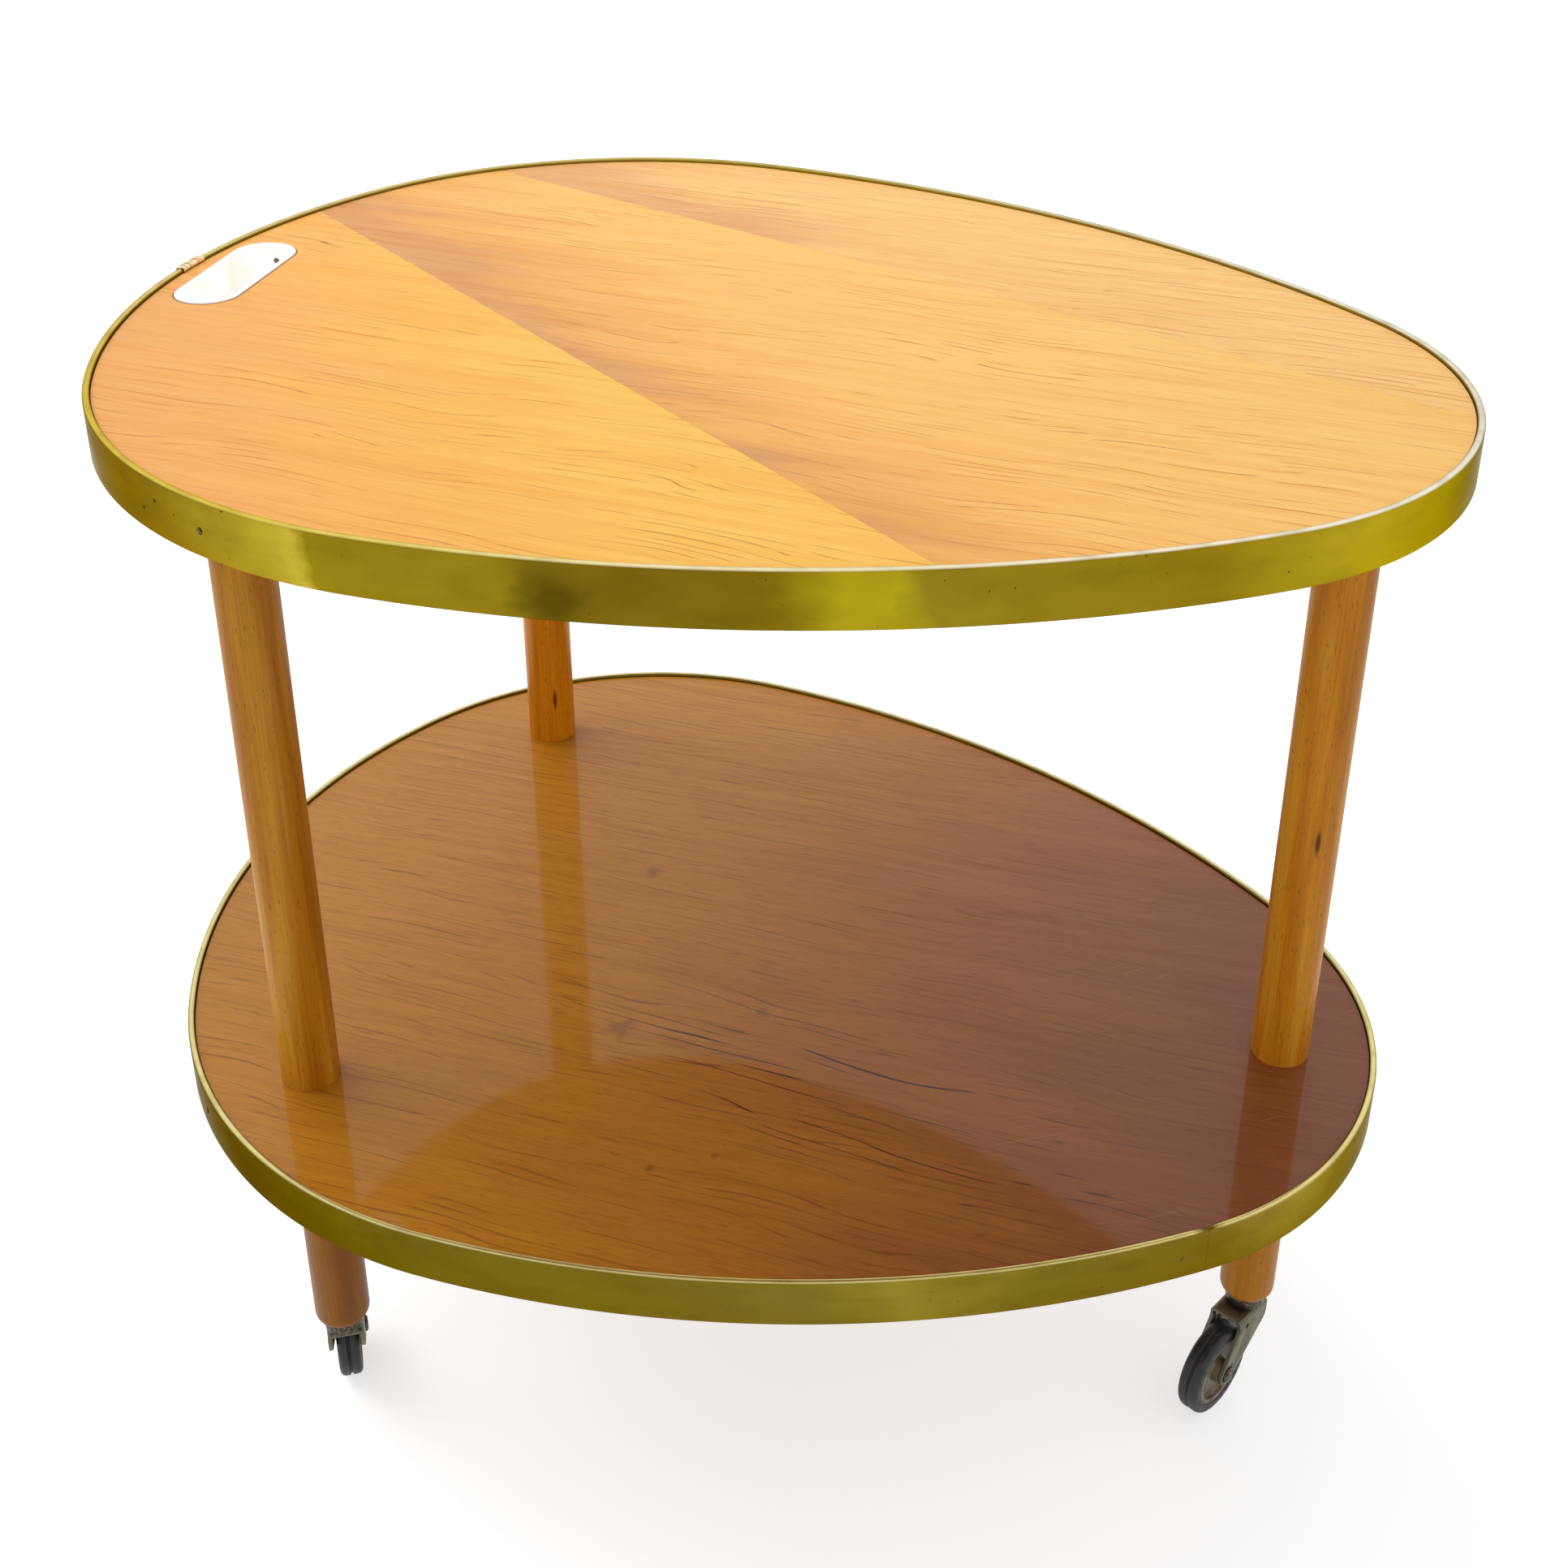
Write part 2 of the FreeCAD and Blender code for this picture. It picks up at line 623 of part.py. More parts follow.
for leg in LEGS:
    post = new_body(f"post_{leg}")
    section = sketch_on(post, "section")
    circle(section, LEG_RADIUS)
    pad(section, POST)
    length = value(POST)
    fillet(post, "ends", "sheet.post_edge", lambda edge: lies_at(edge, z=0) or lies_at(edge, z=length))
    stud_hole = sketch_on(post, "stud_hole")
    circle(stud_hole, "sheet.stud_diameter / 2 + sheet.wood_fit")
    pocket(stud_hole, "sheet.stud_in_post + sheet.hole_end", upward=True)
    dowel_hole = sketch_on(post, "dowel_hole", z=POST)
    circle(dowel_hole, "sheet.dowel_diameter / 2 + sheet.wood_fit")
    pocket(dowel_hole, "sheet.dowel_in_post + sheet.hole_end")
    place_at_leg(post, leg, LOWER_VENEER)

    foot = new_body(f"foot_{leg}")
    section = sketch_on(foot, "section")
    circle(section, LEG_RADIUS)
    pad(section, "sheet.foot_length")
    fillet(foot, "end", "sheet.foot_round", lambda edge: lies_at(edge, z=0))
    stem_hole = sketch_on(foot, "stem_hole")
    circle(stem_hole, f"{STEM_RADIUS} + sheet.wood_fit")
    pocket(stem_hole, "sheet.stem_length + sheet.hole_end", upward=True)
    stud_hole = sketch_on(foot, "stud_hole", z="sheet.foot_length")
    circle(stud_hole, "sheet.stud_diameter / 2 + sheet.wood_fit")
    pocket(stud_hole, "sheet.stud_in_foot + sheet.hole_end")
    place_at_leg(foot, leg, FOOT_BOTTOM)


def rods(label, diameter, length, bottom):
    """Three equal round rods, one on each leg axis."""
    pieces = []
    for leg in LEGS:
        rod = doc.addObject("Part::Cylinder", f"{label}_{leg}")
        rod.setExpression("Radius", f"{diameter} / 2")
        rod.setExpression("Height", length)
        place_at_leg(rod, leg, bottom)
        pieces.append(rod)
    bundle = doc.addObject("Part::Compound", label)
    bundle.Label = label
    bundle.Links = pieces


dowel_length = "sheet.dowel_in_post + sheet.dowel_in_board"
rods("post_dowels", "sheet.dowel_diameter", dowel_length, f"{TOP_BOARD} - sheet.dowel_in_post")
stud_length = "sheet.stud_in_foot + sheet.board_thickness + sheet.stud_in_post"
rods("leg_studs", "sheet.stud_diameter", stud_length, f"{LOWER_BOARD} - sheet.stud_in_foot")


# Casters: each piece is drawn with the swivel axis on the origin and the wheel trailing along +X


def wheel_sketch(body, name):
    """A sketch whose origin is the wheel's centre, X radial and Y along the axle."""
    return sketch_on(body, name, x="sheet.trail", z=WHEEL_RADIUS)


def stem(leg):
    """Headed stem driven into the foot, on which the fork swivels."""
    body = new_body(f"caster_{leg}_stem")
    profile = sketch_on(body, "profile", "XZ_Plane")
    head = "sheet.stem_head_diameter / 2"
    under = f"({PLATE_BOTTOM} - sheet.swivel_gap)"
    top = f"{FOOT_BOTTOM} + sheet.stem_length"
    bottom = f"{under} - sheet.stem_head"
    points = (("0", bottom), (f"{head} - sheet.stem_head", bottom), (head, under), (STEM_RADIUS, under))
    points += ((STEM_RADIUS, top), ("0", top))
    polygon(profile, points)
    revolve(profile)
    return body


def race(leg):
    """Pressed ring between the foot and the fork."""
    body = new_body(f"caster_{leg}_race")
    ring = sketch_on(body, "ring", z=RACE_BOTTOM)
    circle(ring, "sheet.race_diameter / 2")
    circle(ring, f"{STEM_RADIUS} + sheet.wood_fit")
    pad(ring, "sheet.race_height")
    top = value(FOOT_BOTTOM)
    size = value("sheet.race_diameter / 2")
    fillet(body, "top", "sheet.race_round", lambda edge: lies_at(edge, z=top) and is_round(edge, size))
    return body


def fork(leg):
    """Stamped fork: a flat plate folded down into two arms that sweep back to the axle."""
    body = new_body(f"caster_{leg}_fork")
    side = sketch_on(body, "side", "XZ_Plane")
    eye = Vector(value("sheet.trail"), value(WHEEL_RADIUS), 0)
    r = value("sheet.fork_eye")
    front = ("-sheet.fork_front", f"{PLATE_TOP} - sheet.fork_front_drop")
    back = ("sheet.fork_back", f"{PLATE_TOP} - sheet.fork_back_drop")
    corners = [("sheet.fork_back", PLATE_TOP), ("-sheet.fork_front", PLATE_TOP)]
    spots = [Vector(value(x), value(y), 0) for x, y in (back, *corners, front)]
    touches = []
    for spot, sense in ((spots[-1], -1), (spots[0], 1)):
        reach = eye.sub(spot).Length
        heading = facing(spot, eye) + sense * math.asin(r / reach)
        touch = math.sqrt(reach**2 - r**2)
        touches.append(spot.add(Vector(math.cos(heading), math.sin(heading), 0) * touch))
    arc = Part.ArcOfCircle(Part.Circle(eye, UP, r), facing(eye, touches[0]), facing(eye, touches[1]))
    side.addGeometry(arc, False)
    trace = [touches[1], *spots, touches[0]]
    for i in range(len(trace) - 1):
        side.addGeometry(Part.LineSegment(trace[i], trace[i + 1]), False)
    last = len(trace) - 1
    for i in range(1, last):
        side.addConstraint(Sketcher.Constraint("Coincident", i, 2, i + 1, 1))
    side.addConstraint(Sketcher.Constraint("Tangent", 0, 2, 1, 1))
    side.addConstraint(Sketcher.Constraint("Tangent", last, 2, 0, 1))
    for i, (x, y) in enumerate((back, *corners, front), start=1):
        hold(side, i, 2, x, y)
    hold(side, 0, 3, "sheet.trail", WHEEL_RADIUS)
    dimension(side, Sketcher.Constraint("Radius", 0, r), "sheet.fork_eye")
    pad(side, FORK_OUTSIDE, symmetric=True)
    bends = [spots[0], spots[-1]]
    fillet(
        body,
        "sweep",
        "sheet.fork_sweep",
        lambda edge: any(lies_at(edge, x=spot.x, z=spot.y) for spot in bends),
    )
    channel = sketch_on(body, "channel", "YZ_Plane")
    half = f"{FORK_INSIDE} / 2"
    rectangle(channel, f"-{half}", "0", half, PLATE_BOTTOM)
    pocket(channel, symmetric=True)
    top = value(PLATE_TOP)
    edge_y = value(f"{FORK_OUTSIDE} / 2")
    fillet(
        body,
        "bend",
        "sheet.fork_bend",
        lambda edge: lies_at(edge, z=top, y=edge_y) or lies_at(edge, z=top, y=-edge_y),
    )
    stem_hole = sketch_on(body, "stem_hole", z=PLATE_TOP)
    circle(stem_hole, f"{STEM_RADIUS} + sheet.running_fit")
    pocket(stem_hole, "2 * sheet.fork_thickness")
    holes = sketch_on(body, "arm_holes", "XZ_Plane")
    circle(holes, f"{AXLE_RADIUS} + sheet.running_fit", "sheet.trail", WHEEL_RADIUS)
    circle(holes, "sheet.fork_hole / 2", "sheet.fork_hole_back", f"{PLATE_TOP} - sheet.fork_hole_drop")
    pocket(holes, symmetric=True)
    return body


def axle(leg):
    """Riveted axle with a bevelled head outside each arm."""
    body = new_body(f"caster_{leg}_axle")
    profile = wheel_sketch(body, "profile")
    head = "sheet.axle_head_diameter / 2"
    half = f"{FORK_OUTSIDE} / 2"
    end = f"({half} + sheet.axle_head)"
    bevel = f"{head} - sheet.axle_head"
    points = (("0", f"-{end}"), (bevel, f"-{end}"), (head, f"-{half}"), (AXLE_RADIUS, f"-{half}"))
    points += ((AXLE_RADIUS, half), (head, half), (bevel, end), ("0", end))
    polygon(profile, points)
    revolve(profile)
    return body


def hub(leg):
    """Moulded wheel disc with a boss on the axle and a raised rim."""
    body = new_body(f"caster_{leg}_hub")
    profile = wheel_sketch(body, "profile")
    boss = "sheet.hub_boss / 2"
    inner = f"{RIM_RADIUS} - sheet.hub_rim"
    bore = f"{AXLE_RADIUS} + sheet.running_fit"
    steps = ((bore, boss, "sheet.hub_length"), (boss, inner, "sheet.hub_web"))
    steps += ((inner, RIM_RADIUS, "sheet.hub_rim_width"),)
    lower = []
    upper = []
    for start, end, width in steps:
        lower += [(start, f"-{width} / 2"), (end, f"-{width} / 2")]
        upper += [(start, f"{width} / 2"), (end, f"{width} / 2")]
    polygon(profile, (*lower, *reversed(upper)))
    revolve(profile)
    return body


def tyre(leg):
    """Rubber tyre with two ridges and a groove between them."""
    body = new_body(f"caster_{leg}_tyre")
    profile = wheel_sketch(body, "profile")
    half = "sheet.tyre_width / 2"
    groove = "sheet.tyre_groove_width / 2"
    bottom = (f"{WHEEL_RADIUS} - sheet.tyre_groove", "0")
    points = ((RIM_RADIUS, f"-{half}"), (WHEEL_RADIUS, f"-{half}"), (WHEEL_RADIUS, f"-{groove}"), bottom)
    points += ((WHEEL_RADIUS, groove), (WHEEL_RADIUS, half), (RIM_RADIUS, half))
    polygon(profile, points)
    revolve(profile)
    edge_y = value(half)
    outer = value(WHEEL_RADIUS)
    fillet(
        body,
        "shoulders",
        "sheet.tyre_shoulder",
        lambda edge: near(abs(edge.Vertexes[0].Point.y), edge_y) and is_round(edge, outer),
    )
    return body


for leg in LEGS:
    for make in (stem, race, fork, axle, hub, tyre):
        place_at_leg(make(leg), leg, turn=f"sheet.{leg}_swivel")

# Check and write

doc.recompute()
NODES = ["top_board", "top_leaf_near", "top_leaf_mid", "top_leaf_far"]
NODES += ["top_band", "top_band_clip", "top_band_pins", "grip_liner", "grip_nails"]
NODES += ["lower_board", "lower_veneer", "lower_band", "lower_band_pins"]
NODES += ["post_dowels", "leg_studs"]
for leg in LEGS:
    NODES += [f"post_{leg}", f"foot_{leg}"]
    NODES += [f"caster_{leg}_{piece}" for piece in ("stem", "race", "fork", "axle", "hub", "tyre")]

for thing in doc.Objects:
    if "Invalid" in thing.State or "Error" in thing.State:
        raise RuntimeError(f"{thing.Name} failed: {thing.State}")
pieces = {node: doc.getObjectsByLabel(node)[0] for node in NODES}
for node, piece in pieces.items():
    if piece.Shape.isNull() or not piece.Shape.isValid():
        raise RuntimeError(f"{node} has no valid shape")
os.makedirs("parts", exist_ok=True)
for node, piece in pieces.items():
    piece.Shape.exportStep(f"parts/{node}.step")
print(len(pieces), "sub-parts written")
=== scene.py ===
# %% [markdown]
# # A rolling side table, dressed
#
# The table has two shelves in the outline of a blunt egg, three round posts, three short feet and three
# swivel casters. The measured solids come in as a fixed frame, one object for each piece. This lesson makes
# the finer pieces over that frame and gives every surface the finish of the real one.

# %% Load the frame
import math

import bmesh
import bpy
import numpy as np
from mathutils import Matrix, Vector


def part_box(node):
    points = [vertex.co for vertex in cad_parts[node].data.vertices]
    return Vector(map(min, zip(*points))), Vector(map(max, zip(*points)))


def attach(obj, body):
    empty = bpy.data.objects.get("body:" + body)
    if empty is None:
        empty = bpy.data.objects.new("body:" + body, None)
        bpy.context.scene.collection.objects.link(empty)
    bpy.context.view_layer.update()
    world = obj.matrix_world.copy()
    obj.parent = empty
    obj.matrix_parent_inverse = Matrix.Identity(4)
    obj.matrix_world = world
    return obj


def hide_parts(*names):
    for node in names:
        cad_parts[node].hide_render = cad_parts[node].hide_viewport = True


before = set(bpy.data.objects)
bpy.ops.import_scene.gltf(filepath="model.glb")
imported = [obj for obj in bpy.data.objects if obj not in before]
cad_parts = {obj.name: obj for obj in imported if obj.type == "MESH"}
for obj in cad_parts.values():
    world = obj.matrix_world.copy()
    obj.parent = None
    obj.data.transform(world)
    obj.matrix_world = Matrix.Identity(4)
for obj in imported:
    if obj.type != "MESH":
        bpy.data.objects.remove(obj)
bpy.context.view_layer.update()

# %% [markdown]
# ## Colours and nodes
#
# A colour picked from a picture is an sRGB value, and Blender's sockets take linear light, so one function
# turns the one into the other. Node trees are long to write by hand. One more function adds a node with its
# settings. It takes inputs by name or in the order of the sockets, links those that are sockets of other
# nodes and sets the rest.

# %% One function for colours, one for nodes
MM = 0.001
MATH = "ShaderNodeMath"
RANGE = "ShaderNodeMapRange"


def linear(colour):
    """Turn an sRGB hex colour into the linear values that a socket takes."""
    parts = [int(colour[i : i + 2], 16) / 255 for i in (1, 3, 5)]
    light = [p / 12.92 if p <= 0.04045 else ((p + 0.055) / 1.055) ** 2.4 for p in parts]
    return (*light, 1.0)


def add(tree, kind, inputs=(), out=0, stops=None, **settings):
    """Add a node with its settings and inputs, and give back one of its outputs, or all if out is None."""
    node = tree.nodes.new(kind)
    for name, setting in settings.items():
        setattr(node, name, setting)
    for key, given in inputs.items() if isinstance(inputs, dict) else enumerate(inputs):
        if isinstance(given, bpy.types.NodeSocket):
            tree.links.new(given, node.inputs[key])
        else:
            node.inputs[key].default_value = linear(given) if str(given).startswith("#") else given
    if stops:
        ramp = node.color_ramp
        while len(ramp.elements) < len(stops):
            ramp.elements.new(1.0)
        for element, (place, colour) in zip(ramp.elements, stops):
            element.position = place
            element.color = linear(colour)
    return node.outputs if out is None else node.outputs[out]


print("mid grey in linear light:", round(linear("#808080")[0], 3))

# %% [markdown]
# ## The outline of the shelves
#
# Both shelves are cut to one outline: three round corners joined by three long, slightly bowed sides, so
# six arcs that run into each other without a kink. It could be drawn as a Bezier curve by eye, but the arcs
# are known from the solids, and a side's centre follows from the two corners that it touches. So the
# outline is worked out, and it fits the solids exactly.

# %% Six arcs that touch
CORNERS = {"near": (-84.1, -43.9, 211.0), "nose": (149.2, -15.4, 160.0), "far": (-102.3, 59.9, 195.0)}
SIDES = (("near", "nose", 537.0), ("nose", "far", 582.0), ("far", "near", 314.0))


def side_centre(start, end, radius):
    """Centre of the arc that touches two corner circles from outside them."""
    a = Vector(CORNERS[start][:2])
    b = Vector(CORNERS[end][:2])
    from_a = radius - CORNERS[start][2]
    from_b = radius - CORNERS[end][2]
    apart = (b - a).length
    forward = (from_a**2 - from_b**2 + apart**2) / (2 * apart)
    aside = math.sqrt(from_a**2 - forward**2)
    ahead = (b - a) / apart
    return a + ahead * forward + Vector((-ahead.y, ahead.x)) * aside


def bearing(centre, spot):
    """Direction from a centre to a spot, in radians."""
    return math.atan2(spot[1] - centre[1], spot[0] - centre[0])


centres = {f"{start}_{end}": side_centre(start, end, radius) for start, end, radius in SIDES}
arcs = []
for i, (start, end, radius) in enumerate(SIDES):
    before = f"{SIDES[i - 1][0]}_{SIDES[i - 1][1]}"
    side = f"{start}_{end}"
    x, y, r = CORNERS[start]
    arcs.append((start, (x, y), r, bearing(centres[before], (x, y)), bearing(centres[side], (x, y))))
    ends = [bearing(centres[side], CORNERS[corner][:2]) for corner in (start, end)]
    arcs.append((side, tuple(centres[side]), radius, *ends))
arcs = [(n, c, r, s, e if e > s else e + 2 * math.pi) for n, c, r, s, e in arcs]
print("outline:", round(sum(r * (e - s) for n, c, r, s, e in arcs)), "mm round")

# %% A path along the outline
def spot_on(arc, degrees):
    """A point of the outline, on a named arc, in millimetres."""
    name, centre, radius, start, end = next(row for row in arcs if row[0] == arc)
    angle = math.radians(degrees)
    return centre[0] + radius * math.cos(angle), centre[1] + radius * math.sin(angle)


def path_from(arc, degrees, gap, step=4.0):
    """Points once round the outline, from one side of a joint to the other."""
    names = [row[0] for row in arcs]
    first = names.index(arc)
    order = [*arcs[first:], *arcs[:first], arcs[first]]
    points = []
    for i, (name, centre, radius, start, end) in enumerate(order):
        joint = math.radians(degrees)
        while joint < start:
            joint += 2 * math.pi
        low = joint + gap / 2 / radius if i == 0 else start
        high = joint - gap / 2 / radius if i == len(order) - 1 else end
        count = max(2, int(radius * (high - low) / step) + 1)
        for angle in np.linspace(low, high, count)[0 if i == 0 else 1 :]:
            points.append((centre[0] + radius * math.cos(angle), centre[1] + radius * math.sin(angle)))
    return points


TOP_JOINT = ("far_near", 182.0)
LOWER_JOINT = ("near_nose", -52.22)
print("points on the top path:", len(path_from(*TOP_JOINT, 0.5)))

# %% [markdown]
# ## Finished meshes
#
# Every made piece ends in the same way. Its doubles are merged, its faces are turned outwards, it is shaded
# smooth except over sharp corners, it rides on a body of the frame, and the solids it stands for are
# hidden.

# %% Finish a mesh and hand it to the frame
def settle(mesh, sharp=40):
    """Merge doubles, turn the faces outwards and shade smooth between sharp corners."""
    work = bmesh.new()
    work.from_mesh(mesh)
    bmesh.ops.remove_doubles(work, verts=work.verts, dist=1e-6)
    bmesh.ops.recalc_face_normals(work, faces=work.faces)
    work.to_mesh(mesh)
    work.free()
    mesh.shade_smooth()
    mesh.set_sharp_from_angle(angle=math.radians(sharp))
    return mesh


def hand_in(name, mesh, material, body, *nodes):
    """Make a piece of a finished mesh: it rides on a body and stands for solids of the frame."""
    mesh.materials.clear()
    mesh.materials.append(material)
    made = bpy.data.objects.new(name, mesh)
    bpy.context.scene.collection.objects.link(made)
    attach(made, body)
    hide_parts(*nodes)
    print(name, "faces:", len(mesh.polygons))


def dress(node, material):
    """Give a solid of the frame a better material."""
    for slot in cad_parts[node].material_slots:
        slot.material = material


# %% Round the corners of a section
def rounded(corners, steps=6):
    """Points of a closed section; each corner is (x, y, radius), all in millimetres."""
    points = []
    for i, (x, y, radius) in enumerate(corners):
        here = Vector((x, y))
        if radius == 0:
            points.append((x, y))
            continue
        back = (Vector(corners[i - 1][:2]) - here).normalized()
        on = (Vector(corners[(i + 1) % len(corners)][:2]) - here).normalized()
        half = back.angle(on) / 2
        centre = here + (back + on).normalized() * (radius / math.sin(half))
        start = here + back * (radius / math.tan(half)) - centre
        end = here + on * (radius / math.tan(half)) - centre
        swing = start.angle_signed(end)
        for k in range(steps + 1):
            points.append(tuple(centre + Matrix.Rotation(-swing * k / steps, 2) @ start))
    return points


print("a rounded square has", len(rounded([(0, 0, 1), (9, 0, 1), (9, 9, 1), (0, 9, 1)])), "points")

# %% [markdown]
# ## Patterns from real sizes
#
# Most finishes here are noise that is drawn out along one direction: wood grain, pores, scratches, polish
# marks. A Mapping node of the Texture kind divides by its scale, so the scale can be written as the length
# and width of one patch in millimetres, and the pattern stays the right size on the real piece. A finish
# starts from the plain values of its material, lays tints over each other, and is closed with a roughness
# and a relief that follow the same patterns.

# %% Start, tint and close a finish
# Sockets of a Mix node that mixes colours: its share, the two colours, and its result
SHARE = 0
UNDER = 6
OVER = 7
MIXED = 2


def finish(name, sockets):
    """A new material with the plain values of its shader: gives back the material and its tree."""
    material = bpy.data.materials.new(name)
    material.use_nodes = True
    shader = material.node_tree.nodes["Principled BSDF"]
    for socket, setting in sockets.items():
        shader.inputs[socket].default_value = linear(setting) if isinstance(setting, str) else setting
    return material, material.node_tree


def tinted(tree, under, over, pattern, levels=None, blend="MIX"):
    """Lay one colour over another where a pattern is strong; levels first spread it over a share."""
    if levels:
        pattern = add(tree, RANGE, (pattern, *levels))
    layers = {SHARE: pattern, UNDER: under, OVER: over}
    return add(tree, "ShaderNodeMix", layers, MIXED, data_type="RGBA", blend_type=blend)


def surface(material, colour, rough, raised=None):
    """Close a finish: its colour, a pattern spread over its roughness, and one raised by millimetres."""
    tree = material.node_tree
    shader = tree.nodes["Principled BSDF"]
    tree.links.new(colour, shader.inputs["Base Color"])
    tree.links.new(add(tree, RANGE, rough), shader.inputs["Roughness"])
    if raised:
        pattern, height, strength = raised
        bump = {"Height": pattern, "Distance": height * MM, "Strength": strength}
        tree.links.new(add(tree, "ShaderNodeBump", bump), shader.inputs["Normal"])
    return material


print("colour sockets of a mix:", UNDER, "and", OVER)

# %% Patterns in millimetres
SWAY_LENGTH = 110.0
MIDDLE = (0.5, 0.5, 0.5)


def swayed(tree, seed, sway):
    """Object coordinates, pushed about slowly by some millimetres, so that straight grain wanders."""
    here = add(tree, "ShaderNodeTexCoord", out="Object")
    if sway == 0:
        return here
    slow = {"Vector": here, "W": seed + 0.5, "Scale": 1 / (SWAY_LENGTH * MM), "Detail": 1.0}
    lean = add(tree, "ShaderNodeTexNoise", slow, "Color", noise_dimensions="4D")
    lean = add(tree, "ShaderNodeVectorMath", (lean, MIDDLE), operation="SUBTRACT")
    lean = add(tree, "ShaderNodeVectorMath", {0: lean, "Scale": sway * MM}, operation="SCALE")
    return add(tree, "ShaderNodeVectorMath", (here, lean), operation="ADD")


def patches(tree, size, turn=0.0, seed=0.0, detail=2.0, sway=0.0):
    """Noise whose patches have a size in millimetres, turned about the upright axis; about 0.3 to 0.7."""
    laid = {"Vector": swayed(tree, seed, sway), "Rotation": (0, 0, math.radians(turn))}
    laid["Scale"] = [side * MM for side in size]
    drawn = add(tree, "ShaderNodeMapping", laid, vector_type="TEXTURE")
    noise = {"Vector": drawn, "W": seed, "Scale": 1.0, "Detail": detail}
    return add(tree, "ShaderNodeTexNoise", noise, noise_dimensions="4D")


print("one fibre 0.8 mm wide repeats", round(1 / (0.8 * MM)), "times a metre")

# %% Marks in one place, and lines along the grain
def off_from(tree, here, place, size, turn=0.0):
    """How far a point lies from a middle, in sizes along each axis, so that 1 is the rim of an oval."""
    oval = {"Vector": here, "Location": place, "Rotation": (0, 0, turn), "Scale": size}
    local = add(tree, "ShaderNodeMapping", oval, vector_type="TEXTURE")
    return add(tree, "ShaderNodeVectorMath", (local,), "Value", operation="LENGTH")


def grain_lines(tree, apart, wide, length, turn, seed, sway):
    """Thin wavy lines along the grain: rows some millimetres apart, broken into lengths by a noise."""
    laid = {"Vector": swayed(tree, seed, sway), "Rotation": (0, 0, math.radians(turn))}
    laid["Scale"] = [apart * MM] * 3
    drawn = add(tree, "ShaderNodeMapping", laid, vector_type="TEXTURE")
    rows = add(tree, "ShaderNodeSeparateXYZ", {"Vector": drawn}, "Y")
    wobble = patches(tree, (170, 5 * apart, 5 * apart), turn, seed + 0.2)
    push = add(tree, RANGE, (wobble, 0.3, 0.7, -0.9, 0.9))
    pushed = add(tree, MATH, (rows, push), operation="ADD")
    place = add(tree, MATH, (pushed,), operation="FRACT")
    aside = add(tree, MATH, (place, 0.5), operation="SUBTRACT")
    off = add(tree, MATH, (aside,), operation="ABSOLUTE")
    line = add(tree, RANGE, (off, wide / apart / 4, wide / apart / 2, 1.0, 0.0))
    lengths = patches(tree, (length, 0.9 * apart, apart), turn, seed + 0.4, 1)
    broken = add(tree, RANGE, (lengths, 0.5, 0.6))
    return add(tree, MATH, (line, broken), operation="MULTIPLY")


print("a row of grain sways over", SWAY_LENGTH, "mm")

# %% [markdown]
# ## Brass edging
#
# The edge of each shelf wears a strip of drawn brass. Old lacquer on it has gone patchy, and its colour
# also holds painted reflections. Long stretches are dull olive, partly tarnish and partly a painted
# reflection of green surroundings.
# The bright stretches are painted highlights over rubbed lacquer. One dark patch is a painted reflection of
# a post. The paler lip is partly wear and partly a painted reflection of the sky. A noise could place such
# patches anywhere, but on the real strip they lie in known places. The angle round the shelf, from the two
# level coordinates, runs a colour ramp with a stop for each patch. A noise frays the borders, and they
# slant a little.

# %% Drawn brass, lacquered and worn, with painted reflections
HALF_WALL = 12.0
BORDER_SLANT = 0.17
FRAY = 0.0025
POST_REFLECTION_SIZE = (0.011, 17.0)
SPECK = 1.1
LIP_BORDER = (-0.4, 0.3)


